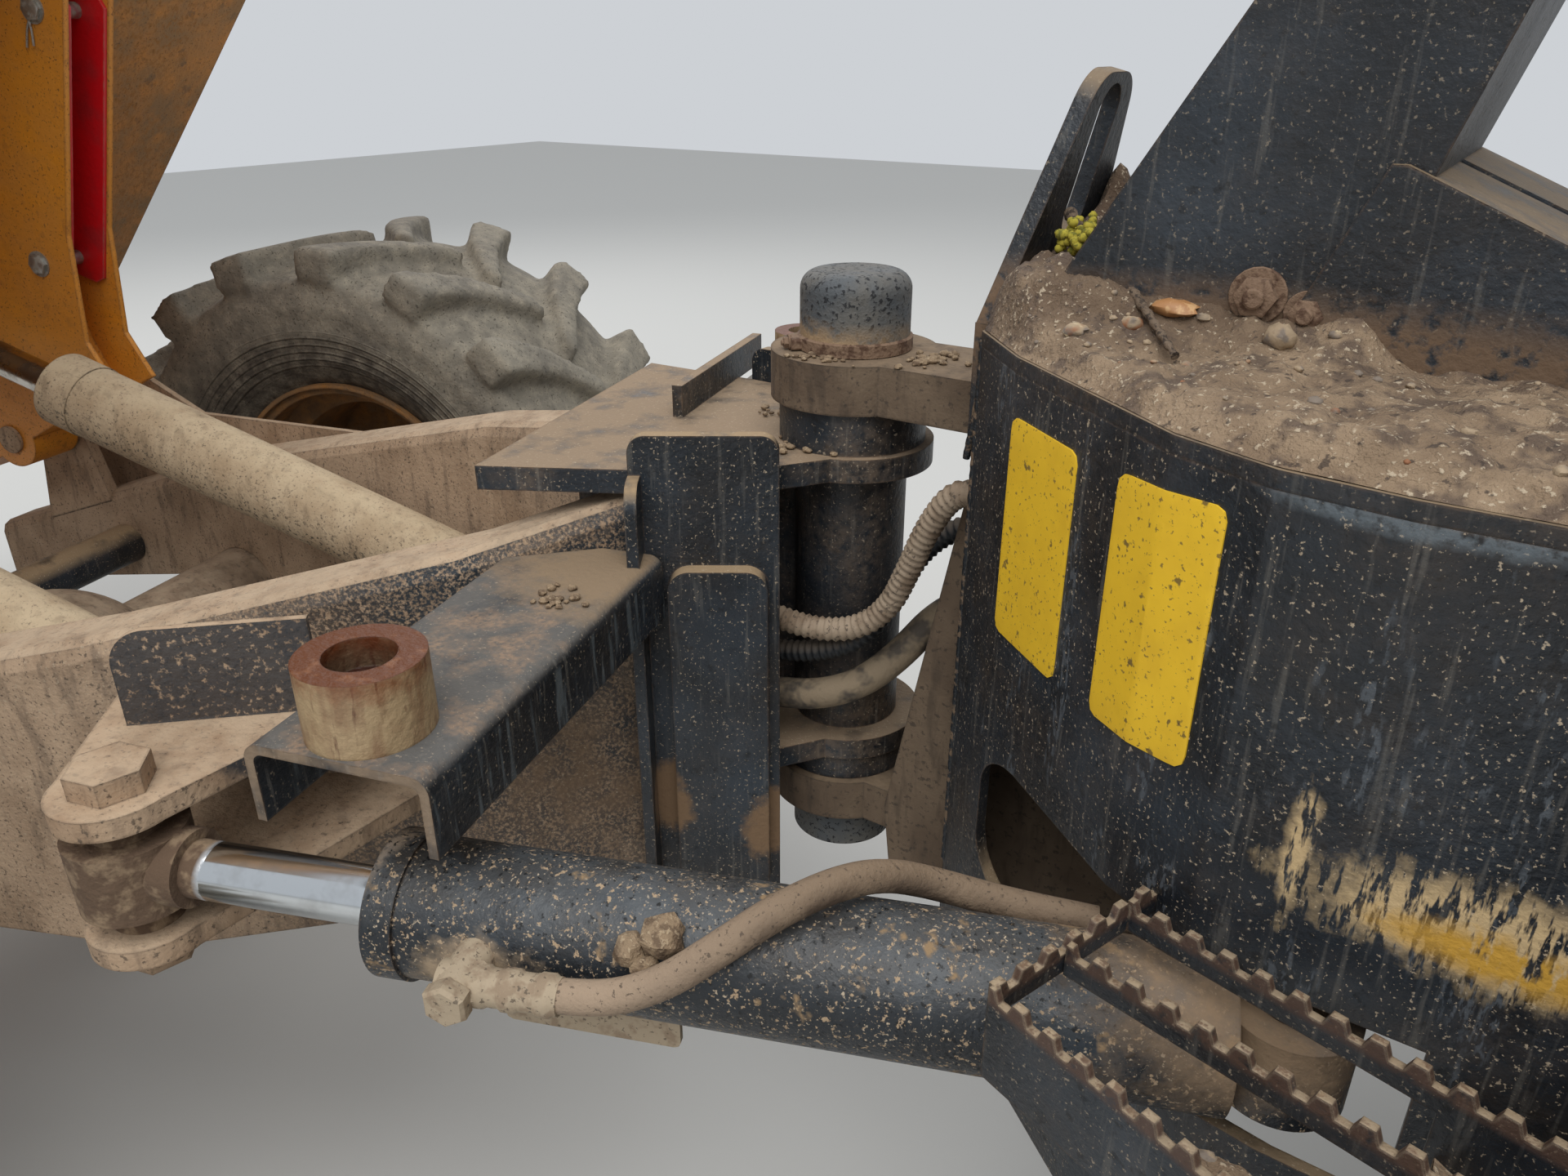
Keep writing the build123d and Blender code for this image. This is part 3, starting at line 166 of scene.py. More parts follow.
def facing(material, low, high, axis="Z"):
    """A mask of the faces that look along an axis, from the cosine low to the cosine high."""
    normal = node(material, "TexCoord").outputs["Normal"]
    cosine = node(material, "SeparateXYZ", None, Vector=normal).outputs[axis]
    return node(material, "MapRange", None, Value=cosine, From_Min=low, From_Max=high).outputs[0]


def near(material, centre, reach, soft=0.5, ragged=0.0):
    """A mask of the room round a point: an ellipsoid of this reach in metres, soft and ragged at its rim."""
    place = node(material, "TexCoord").outputs["Object"]
    away = node(material, "VectorMath", {"operation": "SUBTRACT"}, i0=place, i1=tuple(centre)).outputs[0]
    away = node(material, "VectorMath", {"operation": "DIVIDE"}, i0=away, i1=tuple(reach)).outputs[0]
    away = node(material, "VectorMath", {"operation": "LENGTH"}, i0=away).outputs["Value"]
    if ragged:
        wave = node(material, "TexNoise", None, Vector=place, Scale=34.0, Detail=4.0, Roughness=0.7)
        wave = node(material, "MapRange", None, Value=wave.outputs[0], To_Min=-ragged, To_Max=ragged)
        away = node(material, "Math", {"operation": "ADD"}, i0=away, i1=wave.outputs[0]).outputs[0]
    return node(material, "MapRange", None, Value=away, From_Min=1.0, From_Max=1.0 - soft).outputs[0]


def both(material, *masks):
    """The product of masks or numbers."""
    result = masks[0]
    for mask in masks[1:]:
        result = node(material, "Math", {"operation": "MULTIPLY"}, i0=result, i1=mask).outputs[0]
    return result


def either(material, *masks):
    """The stronger of some masks."""
    result = masks[0]
    for mask in masks[1:]:
        result = node(material, "Math", {"operation": "MAXIMUM"}, i0=result, i1=mask).outputs[0]
    return result


# The Mix node's two inputs and its output, as socket numbers, for a colour and for a number.
MIX_SOCKETS = {"RGBA": (6, 7, 2), "FLOAT": (2, 3, 0)}


def over(material, code, rough, *masks, metal=None):
    """Lays one more coat over the colour, roughness and metal so far, as far as all the masks let it."""
    mask = both(material, *masks)
    coats = [("Base Color", "RGBA", linear(code)), ("Roughness", "FLOAT", rough)]
    if metal is not None:
        coats.append(("Metallic", "FLOAT", metal))
    for name, kind, value in coats:
        socket = material.node_tree.nodes["Principled BSDF"].inputs[name]
        below = socket.links[0].from_socket if socket.is_linked else socket.default_value
        first, second, result = MIX_SOCKETS[kind]
        links = {"i0": mask, f"i{first}": below, f"i{second}": value}
        mixed = node(material, "Mix", {"data_type": kind}, **links)
        material.node_tree.links.new(mixed.outputs[result], socket)


def speckled(material, code, rough, grain, share, metal=None):
    """Lays a coat in irregular spots: the grain and levels that spots takes, times a share."""
    over(material, code, rough, spots(material, *grain), share, metal=metal)


def rounded(material, edge_mm):
    """The normal with the edges rounded, one node for all that asks for it in a material."""
    made = material.node_tree.nodes.get("Bevel")
    return (made or node(material, "Bevel", {"samples": 2}, Radius=edge_mm / 1000)).outputs[0]


def relief(material, height, depth_mm, edge_mm=0.0):
    """Raises the surface by a height mask, and rounds the sharp edges of sheared plate."""
    bump = node(material, "Bump", None, Height=height, Distance=depth_mm / 1000, Strength=1.0)
    if edge_mm:
        material.node_tree.links.new(rounded(material, edge_mm), bump.inputs["Normal"])
    shader = material.node_tree.nodes["Principled BSDF"]
    material.node_tree.links.new(bump.outputs[0], shader.inputs["Normal"])


def edges(material, edge_mm, low=0.02, high=0.3):
    """A mask of the convex and concave edges, where the rounded normal leaves the true one."""
    true = node(material, "NewGeometry").outputs["Normal"]
    turned = rounded(material, edge_mm)
    cosine = node(material, "VectorMath", {"operation": "DOT_PRODUCT"}, i0=turned, i1=true).outputs["Value"]
    return node(material, "MapRange", None, Value=cosine, From_Min=1 - low, From_Max=1 - high).outputs[0]


def coat(name, code, rough, metallic=0.0):
    """A new material with one plain coat."""
    material = bpy.data.materials.new(name)
    material.use_nodes = True
    shader = material.node_tree.nodes["Principled BSDF"]
    shader.inputs["Base Color"].default_value = linear(code)
    shader.inputs["Roughness"].default_value = rough
    shader.inputs["Metallic"].default_value = metallic
    return material


def dress(material, *names):
    """Gives CAD nodes a material in each of their slots."""
    for name in names:
        for slot in frame["nodes"][name].material_slots:
            slot.material = material


def chassis_black(name, top=0.85, side=0.3, speck=0.6, runs=0.3, wear=0.6, dust="#a68d6c"):
    """Black enamel in the yard: blue-grey patches of painted sheen, dry streaks of runs, pits, mud on the
    sides and dust on the tops.
    """
    paint = coat(name, "#171b20", 0.4)
    # Painted sheen: blue-grey patches stand in for the sky reflected in the satin enamel.
    speckled(paint, "#38424c", 0.52, (140, 0.42, 0.72), 0.6)
    speckled(paint, "#77736b", 0.7, (7, 0.58, 0.7, (1, 1, 0.07)), runs)
    speckled(paint, "#090b0d", 0.65, (11, 0.6, 0.68), 0.55)
    over(paint, "#8d7760", 0.9, spots(paint, 110, 0.4, 0.72), spots(paint, 9, 0.3, 0.6), side)
    over(paint, dust, 0.95, facing(paint, 0.35, 0.8), spots(paint, 45, 0.22, 0.5), top)
    speckled(paint, "#b3a28a", 0.9, (3.2, 0.62, 0.68), speck)
    over(paint, "#8a6a4c", 0.85, edges(paint, 3), spots(paint, 14, 0.35, 0.6), wear)
    relief(paint, spots(paint, 6, 0.3, 0.75), 0.5, 1.5)
    return paint


def caked(name, dust="#a58d6e", damp="#7d6750", dark="#4b3f33", grain_mm=5, top="#b3a087"):
    """Steel that is dusty all over: dry tan dust, damp brown patches and dark pits where paint shows."""
    crust = coat(name, dust, 0.95)
    speckled(crust, damp, 0.95, (90, 0.42, 0.62), 0.8)
    speckled(crust, dark, 0.9, (16, 0.52, 0.66, (1, 1, 0.2)), 0.45)
    speckled(crust, "#3a3129", 0.85, (grain_mm, 0.58, 0.66), 0.7)
    over(crust, top, 0.97, facing(crust, 0.5, 0.95), spots(crust, 30, 0.3, 0.6), 0.6)
    over(crust, "#3c362f", 0.8, edges(crust, 4, 0.03, 0.2), spots(crust, 14, 0.35, 0.55), 0.75)
    relief(crust, spots(crust, grain_mm * 1.6, 0.25, 0.8), 0.9, 1.5)
    return crust


paint = chassis_black("black_enamel_cheeks", 0.85, 0.1, 0.75, 0.3)
for place, reach in (((146, 192, 768), (0.034, 0.03, 0.05)), ((44, 152, 730), (0.03, 0.05, 0.05))):
    over(paint, "#7b6249", 0.92, near(paint, front(place), reach, 0.3, 0.6))
dress(paint, "cheek_left", "cheek_right", "cross_members")

# The rails are dustier the further they lie from the pivot, and near it their sides still shine.
paint = caked("dusty_rail_enamel", "#ad947a", "#937b63", "#584a3e", 4, "#bda88e")
clean = both(paint, near(paint, front((250, 120, 920)), (0.52, 0.6, 0.6), 0.6), facing(paint, 0.75, 0.5))
over(paint, "#262b30", 0.5, clean, spots(paint, 130, 0.25, 0.5), spots(paint, 3.6, 0.38, 0.54))
low_dust = near(paint, front((190, 210, 790)), (0.3, 0.3, 0.13), 0.7, 0.4)
over(paint, "#7d6650", 0.92, low_dust, spots(paint, 40, 0.25, 0.6), 0.85)
speckled(paint, "#b6a58c", 0.9, (3.5, 0.61, 0.67), 0.5)
dress(paint, "rail_left", "rail_right")

paint = chassis_black("black_enamel_tail", 0.92, 0.5, 0.6, 0.4, 0.9, "#937e66")
over(paint, "#15161a", 0.7, near(paint, front((0, 0, 960)), (0.11, 0.11, 0.16)), 0.6)
dress(paint, "front_tail")

paint = chassis_black("black_enamel_outriggers", 0.6, 0.06, 0.5, 0.45, 0.8, "#6e6a64")
tops = facing(paint, 0.5, 0.9)
over(paint, "#5f676b", 0.4, facing(paint, 0.3, 0.0), spots(paint, 14, 0.54, 0.64, (1, 1, 0.12)), 0.7)
over(paint, "#947b64", 0.95, tops, spots(paint, 50, 0.46, 0.64), spots(paint, 5, 0.3, 0.6), 0.8)
foot = near(paint, front((170, 250, 1060)), (0.15, 0.11, 0.05), 0.6, 0.6)
over(paint, "#87735b", 0.95, tops, foot)
ends = both(paint, facing(paint, 0.85, 0.95, "Y"), spots(paint, 50, 0.3, 0.55), 0.85)
over(paint, "#8b7761", 0.92, ends)
dress(paint, "outriggers")

paint = caked("dusty_ears", "#b0967b", "#94795f", "#5c4c3f", 5, "#bda68b")
gusset = both(paint, near(paint, front((470, 446, 1006)), (0.13, 0.09, 0.1), 0.1), facing(paint, 0.7, 0.3))
over(paint, "#2b3036", 0.5, gusset, spots(paint, 6, 0.32, 0.44), 0.9)
dress(paint, "ram_ears", "skip_pivots")
dress(caked("dusty_axle_casting", "#96806a", "#6f5c4a", "#463a30", 7), "front_axle", "rear_axle")

paint = coat("red_lock_bar_enamel", "#a3161c", 0.45)
speckled(paint, "#8a6a55", 0.9, (40, 0.45, 0.6), 0.7)
relief(paint, spots(paint, 8, 0.3, 0.7), 0.3, 1.5)
dress(paint, "lock_bar")

# The two buffers: turned rubber rings on a pressed steel cup. Their tops have gone rust red, and
# water has run brown drips down their dusty sides.
rubber = coat("rusty_buffer", "#a48c6a", 0.6)
speckled(rubber, "#75543b", 0.6, (20, 0.5, 0.66, (1, 1, 0.3)), 0.6)
speckled(rubber, "#55301f", 0.5, (9, 0.58, 0.66, (1, 1, 0.2)), 0.7)
buffer_x, buffer_y = 220, 550
over(rubber, "#733a18", 0.5, near(rubber, front((buffer_x, buffer_y, 1124)), (0.07, 0.07, 0.03), 0.6, 0.6))
over(rubber, "#5e300f", 0.55, facing(rubber, 0.4, 0.8))
over(rubber, "#8a5c3c", 0.5, facing(rubber, 0.4, 0.8), spots(rubber, 22, 0.56, 0.7), 0.7)
for y in (buffer_y, -buffer_y):
    bore = near(rubber, front((buffer_x, y, 1095)), (0.029, 0.029, 0.09), 0.1)
    over(rubber, "#35190f", 0.4, bore)
relief(rubber, spots(rubber, 7, 0.3, 0.7), 0.6, 2.5)
dress(rubber, "buffers")


# The steering ram: a honed tube with a screwed gland, sprayed black, and a chromed rod that ends
# in a cast eye. The eye and the ear around it are caked with mud, the gland's edge is rubbed tan.
ram_base = np.array(JOINTS["steer_ram_swing"]["pos_m"])
ram_run = np.array(JOINTS["steer_ram_stroke"]["axis"])
ram_left = np.array((-ram_run[1], ram_run[0], 0.0))
ram_up = np.array((0.0, 0.0, 1.0))


def on_ram(distance, aside, above):
    """Metres in the row frame for millimetres along the ram, to its left and above its axis."""
    return ram_base + (distance * ram_run + aside * ram_left + above * ram_up) / 1000


ram_gland, ram_eye = 680, 930
paint = chassis_black("black_enamel_ram", 0.12, 0.0, 1.0, 0.05, 0.5, "#8a7d6c")
gland_edge = near(paint, on_ram(ram_gland - 4, 0, 0), (0.02, 0.08, 0.08), 0.3)
over(paint, "#a8927a", 0.9, gland_edge, spots(paint, 9, 0.3, 0.5))
# Painted highlight: blue-grey patches on the upward faces stand in for the sky's sheen on the barrel.
over(paint, "#5a6268", 0.5, facing(paint, 0.1, 0.9), spots(paint, 60, 0.35, 0.65), 0.45)
over(paint, "#0a0c0e", 0.6, spots(paint, 6, 0.6, 0.66))
speckled(paint, "#ab9376", 0.9, (5, 0.6, 0.66, (1, 1, 1), (0.7, 0.3, 0.1)), 0.9)
over(paint, "#8d7557", 0.9, spots(paint, 44, 0.62, 0.66), spots(paint, 8, 0.4, 0.6))
over(paint, "#a08c73", 0.92, near(paint, on_ram(585, 50, -20), (0.07, 0.05, 0.05), 0.5, 0.6))
over(paint, "#8b745b", 0.92, near(paint, on_ram(60, 0, 20), (0.16, 0.09, 0.06), 0.6, 0.5))
dress(paint, "steer_barrel")

chrome = coat("hard_chrome_rod", "#cfd3d6", 0.14, 1.0)
speckled(chrome, "#8f8d88", 0.3, (30, 0.5, 0.7), 0.3)
rod_eye = near(chrome, on_ram(ram_eye, 0, 0), (0.085, 0.085, 0.12), 0.08)
over(chrome, "#5f4b3a", 0.95, rod_eye, metal=0.0)
relief(chrome, both(chrome, rod_eye, spots(chrome, 12, 0.25, 0.8)), 1.6)
over(chrome, "#937d63", 0.95, rod_eye, spots(chrome, 22, 0.5, 0.62), 0.7)
dress(chrome, "steer_rod")

# The tipping rams: the same make as the steering ram, but so dusty that only pits of black show.
paint = caked("dusty_tipping_ram", "#b8a386", "#a28b6e", "#75644f", 4, "#c4b192")
over(paint, "#2a2723", 0.8, spots(paint, 6, 0.57, 0.63), facing(paint, 0.5, -0.2), 0.8)
dress(paint, "tip_barrels")
chrome = coat("hard_chrome_tip_rod", "#b9b4ac", 0.2, 1.0)
speckled(chrome, "#6e6255", 0.4, (40, 0.45, 0.62), 0.7)
dress(chrome, "tip_rods")


# The skip: rolled and welded sheet sprayed orange yellow. Its back and floor are coated with dry
# brown dust, its rim is rusty, and stones have worn the paint off inside.
skip_yellow, skip_dust, skip_rust = "#d98a17", "#8a765b", "#7a4a26"


def skip_paint(name, dusty, rusty, speck):
    """Orange enamel on the skip: faded patches, rust where it is scratched, dust and dark specks."""
    paint = coat(name, skip_yellow, 0.42)
    speckled(paint, "#c67a18", 0.5, (220, 0.4, 0.7), 0.6)
    scratched = both(paint, spots(paint, 30, 0.6, 0.68), spots(paint, 400, 0.35, 0.6), rusty)
    over(paint, skip_rust, 0.85, scratched)
    over(paint, skip_dust, 0.93, spots(paint, 620, 0.12, 0.5), spots(paint, 50, 0.1, 0.6), dusty)
    scraped = both(paint, spots(paint, 9, 0.5, 0.62, (0.12, 1, 1)), spots(paint, 300, 0.4, 0.6), dusty)
    over(paint, "#a06a26", 0.6, scraped)
    over(paint, "#6b4227", 0.9, edges(paint, 6), spots(paint, 12, 0.3, 0.55))
    speckled(paint, "#4a3420", 0.85, (4, 0.6, 0.66), speck)
    relief(paint, spots(paint, 9, 0.3, 0.75), 0.5, 2)
    return paint


dress(skip_paint("orange_skip_enamel", 1.0, 0.8, 0.6), "skip_bowl")
dress(skip_paint("orange_arm_enamel", 0.2, 0.5, 0.7), "skip_arms", "skip_ram_lugs")

paint = coat("red_prop_enamel", "#c8141c", 0.4)
speckled(paint, "#8f2a2c", 0.6, (60, 0.45, 0.65), 0.5)
over(paint, "#a08a78", 0.85, edges(paint, 4), spots(paint, 12, 0.3, 0.6))
relief(paint, spots(paint, 8, 0.3, 0.7), 0.3, 2)
dress(paint, "skip_props")


# The tyres: black rubber moulded with deep bar lugs, grey with dry mud and painted highlight on the tread,
# and darker on the ribbed walls. The rims are pressed steel in the skip's orange, dusty and rusty at the
# flange.
front_axle_x, rear_axle_x = 1290, -1410
half_track, wheel_height = 960, 585
axles = (("front", front, front_axle_x), ("rear", rear, rear_axle_x))
rubber_cell_mm, rubber_rounds, rubber_share = 10, 4, 0.5


def ribs(material, centre, axis, pitch_mm, inner_mm, outer_mm):
    """Moulded rings: the sine of the distance from an axis, kept between two radii."""
    place = node(material, "TexCoord").outputs["Object"]
    away = node(material, "VectorMath", {"operation": "SUBTRACT"}, i0=place, i1=tuple(centre)).outputs[0]
    away = node(material, "VectorMath", {"operation": "CROSS_PRODUCT"}, i0=away, i1=tuple(axis)).outputs[0]
    radius = node(material, "VectorMath", {"operation": "LENGTH"}, i0=away).outputs["Value"]
    waves = 2000 * math.pi / pitch_mm
    phase = node(material, "Math", {"operation": "MULTIPLY"}, i0=radius, i1=waves).outputs[0]
    wave = node(material, "Math", {"operation": "SINE"}, i0=phase).outputs[0]
    inner, outer, soft = inner_mm / 1000, outer_mm / 1000, 0.004
    start = node(material, "MapRange", None, Value=radius, From_Min=inner, From_Max=inner + soft)
    stop = node(material, "MapRange", None, Value=radius, From_Min=outer, From_Max=outer - soft)
    return both(material, wave, start.outputs[0], stop.outputs[0])


def moulded(name, source, material, body):
    """A moulding that follows a CAD node: even cells rebuild its skin, and averaging rounds its corners."""
    work = bmesh.new()
    work.from_mesh(frame["nodes"][source].data)
    bmesh.ops.remove_doubles(work, verts=work.verts, dist=1e-5)
    mesh = bpy.data.meshes.new(name)
    work.to_mesh(mesh)
    work.free()
    piece = bpy.data.objects.new(name, mesh)
    bpy.context.scene.collection.objects.link(piece)
    cells = piece.modifiers.new("cells", "REMESH")
    cells.mode = "VOXEL"
    cells.voxel_size = rubber_cell_mm / 1000
    relaxed = piece.modifiers.new("relaxed", "SMOOTH")
    relaxed.factor = 0.5
    relaxed.iterations = rubber_rounds
    thinned = piece.modifiers.new("thinned", "DECIMATE")
    thinned.ratio = rubber_share
    bpy.context.view_layer.update()
    finished = bpy.data.meshes.new_from_object(piece.evaluated_get(bpy.context.evaluated_depsgraph_get()))
    piece.modifiers.clear()
    finished.materials.clear()
    finished.materials.append(material)
    finished.shade_smooth()
    piece.data = finished
    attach(piece, body)
    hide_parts(source)


rim_paint = skip_paint("orange_rim_enamel", 0.8, 0.8, 0.7)
speckled(rim_paint, "#6a5844", 0.93, (70, 0.3, 0.6), 0.75)
for end, place, axle_x in axles:
    for side, y in (("left", half_track), ("right", -half_track)):
        rubber = coat(f"dusty_lug_rubber_{end}_{side}", "#676157", 0.85)
        speckled(rubber, "#8c8576", 0.92, (150, 0.3, 0.7), 0.75)
        axle_end = place((axle_x, y, wheel_height))
        axle_way = (place((axle_x, y + 1, wheel_height)) - axle_end) * 1000
        over(rubber, "#453d34", 0.85, near(rubber, axle_end, (0.5, 0.5, 0.5), 0.1, 0.04), 0.85)
        # Light tan patches on the rubber: part dry mud, part painted highlight.
        dried_mud_and_highlight = both(rubber, spots(rubber, 28, 0.4, 0.75), spots(rubber, 6, 0.25, 0.6), 0.8)
        over(rubber, "#a79d8a", 0.95, dried_mud_and_highlight)
        rubbed = both(rubber, edges(rubber, 10, 0.05, 0.4), spots(rubber, 20, 0.3, 0.6), 0.6)
        over(rubber, "#8a7d6b", 0.93, rubbed)
        speckled(rubber, "#241f1b", 0.9, (6, 0.58, 0.66), 0.6)
        rings = ribs(rubber, axle_end, axle_way, 15, 334, 424)
        pits = both(rubber, spots(rubber, 10, 0.3, 0.75), 0.4)
        relief(rubber, either(rubber, pits, rings), 3.0, 6)
        moulded(f"rubber_{end}_{side}", f"tyre_{end}_{side}", rubber, f"wheel_{end}_{side}")
        dress(rim_paint, f"rim_{end}_{side}")


# The rear chassis's nose: folded plate with the same black enamel, glossier than the front's
# because it is kicked clean. Boots have scuffed it through to the yellow undercoat on the left.
paint = chassis_black("black_enamel_nose", 0.6, 0.14, 0.85, 0.3, 0.7)
tall = (1, 1, 0.3)
over(paint, "#5c6268", 0.6, spots(paint, 40, 0.55, 0.62, tall), spots(paint, 4, 0.5, 0.58, tall), 0.6)
# Painted highlight: a light blue-grey streak along the rounded top edge stands in for the glint of the glossy
# bend.
rim_highlight = near(paint, rear((-560, 368, 1290)), (0.11, 0.03, 0.015), 0.4, 0.4)
over(paint, "#6f797f", 0.45, rim_highlight, spots(paint, 7, 0.3, 0.5), 0.6)
brushed = spots(paint, 5, 0.43, 0.51, (1, 1, 0.2))
band = near(paint, rear((-650, 369, 1046)), (0.125, 0.03, 0.042), 0.5, 0.55)
lead = near(paint, rear((-543, 366, 1058)), (0.011, 0.03, 0.062), 0.6, 0.8)
over(paint, "#c9ae82", 0.85, either(paint, band, lead), brushed)
ochre = near(paint, rear((-668, 369, 1036)), (0.09, 0.03, 0.022), 0.6, 0.5)
over(paint, "#c99a3a", 0.75, ochre, spots(paint, 9, 0.4, 0.5, (1, 1, 0.4)))
dress(paint, "nose_skirt", "counterweight", "rear_frame", "tanks")
paint = chassis_black("black_enamel_console", 0.5, 0.06, 0.35, 0.25, 0.8)
foot = near(paint, rear((-420, 100, 1300)), (0.5, 0.5, 0.07), 0.4)
over(paint, "#6b5643", 0.95, foot, spots(paint, 12, 0.35, 0.5))
dress(paint, "console", "foot_rests", "sling_plate")
paint = chassis_black("black_enamel_upper_works", 0.5, 0.2, 0.4, 0.2)
dress(paint, "rops", "handrails", "fenders", "seat_base", "deck")
dress(caked("muddy_pivot_lugs", "#6f5e4c", "#5a4a3b", "#372e26", 7, "#907b62"), "pivot_lugs")

paint = coat("grey_pivot_dome", "#4d5154", 0.6)
speckled(paint, "#6a655c", 0.8, (50, 0.4, 0.6), 0.6)
speckled(paint, "#15161a", 0.8, (5, 0.56, 0.62), 0.9)
foot = near(paint, rear((30, 20, 1225)), (0.16, 0.16, 0.05), 0.4)
over(paint, "#9a8162", 0.95, foot, spots(paint, 20, 0.3, 0.5))
relief(paint, spots(paint, 5, 0.3, 0.7), 0.6, 3)
dress(paint, "pivot_pin")

# The step trays: sheet stamped with a toothed edge, bent and welded. Boots keep the teeth bare,
# and they are rusty and bright by turns. Below them the enamel is nearly whole.
tray_top = 985
step_paint = chassis_black("black_enamel_step", 0.7, 0.12, 0.5, 0.25, 0.8)
place = node(step_paint, "TexCoord").outputs["Object"]
height = node(step_paint, "SeparateXYZ", None, Vector=place).outputs["Z"]
low, high = (tray_top - 16) / 1000, (tray_top - 10) / 1000
teeth = node(step_paint, "MapRange", None, Value=height, From_Min=low, From_Max=high).outputs[0]
over(step_paint, "#5c4334", 0.7, teeth, spots(step_paint, 12, 0.3, 0.45), 0.7)
rubbed = both(step_paint, teeth, edges(step_paint, 3, 0.01, 0.12), spots(step_paint, 9, 0.3, 0.5))
over(step_paint, "#b9a78f", 0.45, rubbed, metal=0.5)
trodden = both(step_paint, teeth, facing(step_paint, 0.5, 0.9), spots(step_paint, 7, 0.4, 0.5))
over(step_paint, "#a8957c", 0.5, trodden, metal=0.4)
dress(step_paint, "step_tray_left", "step_tray_right")

# The engine bay, bonnet and exhaust: the bonnet is folded sheet in the skip's orange, the stack
# is rolled pipe blued and rusted by heat, and the engine shows as one plain oily block.
dress(skip_paint("orange_bonnet_enamel", 0.35, 0.25, 0.3), "bonnet")
steel = coat("heat_rusted_stack", "#5a4a40", 0.6, 0.3)
speckled(steel, "#7d4b2f", 0.85, (50, 0.42, 0.62), 0.9)
speckled(steel, "#2a2320", 0.8, (6, 0.55, 0.65), 0.6)
relief(steel, spots(steel, 7, 0.3, 0.7), 0.4, 2)
dress(steel, "stack")
oil = coat("oily_engine_block", "#3a3d3e", 0.55)
speckled(oil, "#22201d", 0.35, (70, 0.42, 0.6), 0.8)
over(oil, "#6e604f", 0.9, facing(oil, 0.5, 0.9), 0.6)
relief(oil, spots(oil, 18, 0.3, 0.7), 1.5, 6)
dress(oil, "engine")


# The mud on the deck: clay trodden off boots, with a heap behind the sling plate and a bank round
# the console's foot. It is damp brown in the lumps and dries to gritty beige towards the edge.
def grid_faces(rows, cols, start):
    """Quads of a grid of points whose columns close round: (r, c), (r, c+1), (r+1, c+1), (r+1, c)."""
    r, c = np.arange(rows - 1)[:, None], np.arange(cols)[None, :]
    after = (c + 1) % cols
    quads = [r * cols + c, r * cols + after, (r + 1) * cols + after, (r + 1) * cols + c]
    return (start + np.stack(np.broadcast_arrays(*quads), -1)).reshape(-1, 4)


def skin(name, grids, material, body="rear_chassis", sharp=35):
    """One mesh of closed skins in metres. Each grid closes round its columns and is pinched at both ends."""
    points, faces, count = [], [], 0
    for grid in grids:
        first, last = grid[:1].mean(1, keepdims=True), grid[-1:].mean(1, keepdims=True)
        grid = np.concatenate([first + 0 * grid[:1], grid, last + 0 * grid[-1:]])
        points.append(grid.reshape(-1, 3))
        faces.append(grid_faces(*grid.shape[:2], count))
        count += len(points[-1])
    mesh = bpy.data.meshes.new(name)
    mesh.from_pydata(np.concatenate(points).tolist(), [], np.concatenate(faces).tolist())
    work = bmesh.new()
    work.from_mesh(mesh)
    bmesh.ops.remove_doubles(work, verts=work.verts, dist=1e-6)
    bmesh.ops.recalc_face_normals(work, faces=work.faces)
    work.to_mesh(mesh)
    work.free()
    mesh.shade_smooth()
    mesh.set_sharp_from_angle(angle=math.radians(sharp))
    mesh.materials.append(material)
    piece = bpy.data.objects.new(name, mesh)
    bpy.context.scene.collection.objects.link(piece)
    if body:
        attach(piece, body)
    return piece


def lumps(x, y, grain, seed):
    """Value noise over a plane: random heights 0 to 1 on a square grid, eased between its corners."""
    size = 97
    table = np.random.default_rng(seed).random((size, size))
    u, v = np.broadcast_arrays(np.asarray(x) / grain, np.asarray(y) / grain)
    i, j = np.floor(u).astype(int), np.floor(v).astype(int)
    fu, fv = (3 - 2 * (u - i)) * (u - i) ** 2, (3 - 2 * (v - j)) * (v - j) ** 2
    i0, i1, j0, j1 = i % size, (i + 1) % size, j % size, (j + 1) % size
    low = table[i0, j0] * (1 - fu) + table[i1, j0] * fu
    high = table[i0, j1] * (1 - fu) + table[i1, j1] * fu
    return low * (1 - fv) + high * fv


deck_z = 1300
nose_x, nose_y = [-800, -560, -488, -420, -261, -200], [370, 367, 357, 326, 198, 130]
console_back, console_front, console_half = -470, -237, 144
# Each heap's height, the x and y of its middle and its spread in y.
heaps = ((62, -234, -78, 62), (16, -232, 20, 52))


def mud_height(x, y):
    """Height of the mud over the deck: lumps of four grains, the bank, two heaps, eased to the edge."""
    edge = np.clip((np.interp(x, nose_x, nose_y) - np.abs(y)) / 28, 0, 1)
    off_x = np.clip(np.maximum(console_back - x, x - console_front), 0, None)
    off_y = np.clip(np.abs(y) - console_half, 0, None)
    rough = lumps(x, y, 24, 2)
    height = 5 + 9 * lumps(x, y, 74, 1) + 9 * rough + 7 * lumps(x, y, 11, 3) + 3 * lumps(x, y, 6, 4)
    height += 34 * np.exp(-((np.hypot(off_x, off_y) / 34) ** 2)) * (0.4 + lumps(x, y, 33, 5))
    for high, middle_x, middle_y, wide in heaps:
        heap = np.exp(-(((x - middle_x) / 24) ** 2) - ((y - middle_y) / wide) ** 2)
        height += high * heap * (0.65 + 0.5 * rough)
    return height * (3 - 2 * edge) * edge**2 * np.clip((x + 900) / 90, 0, 1)


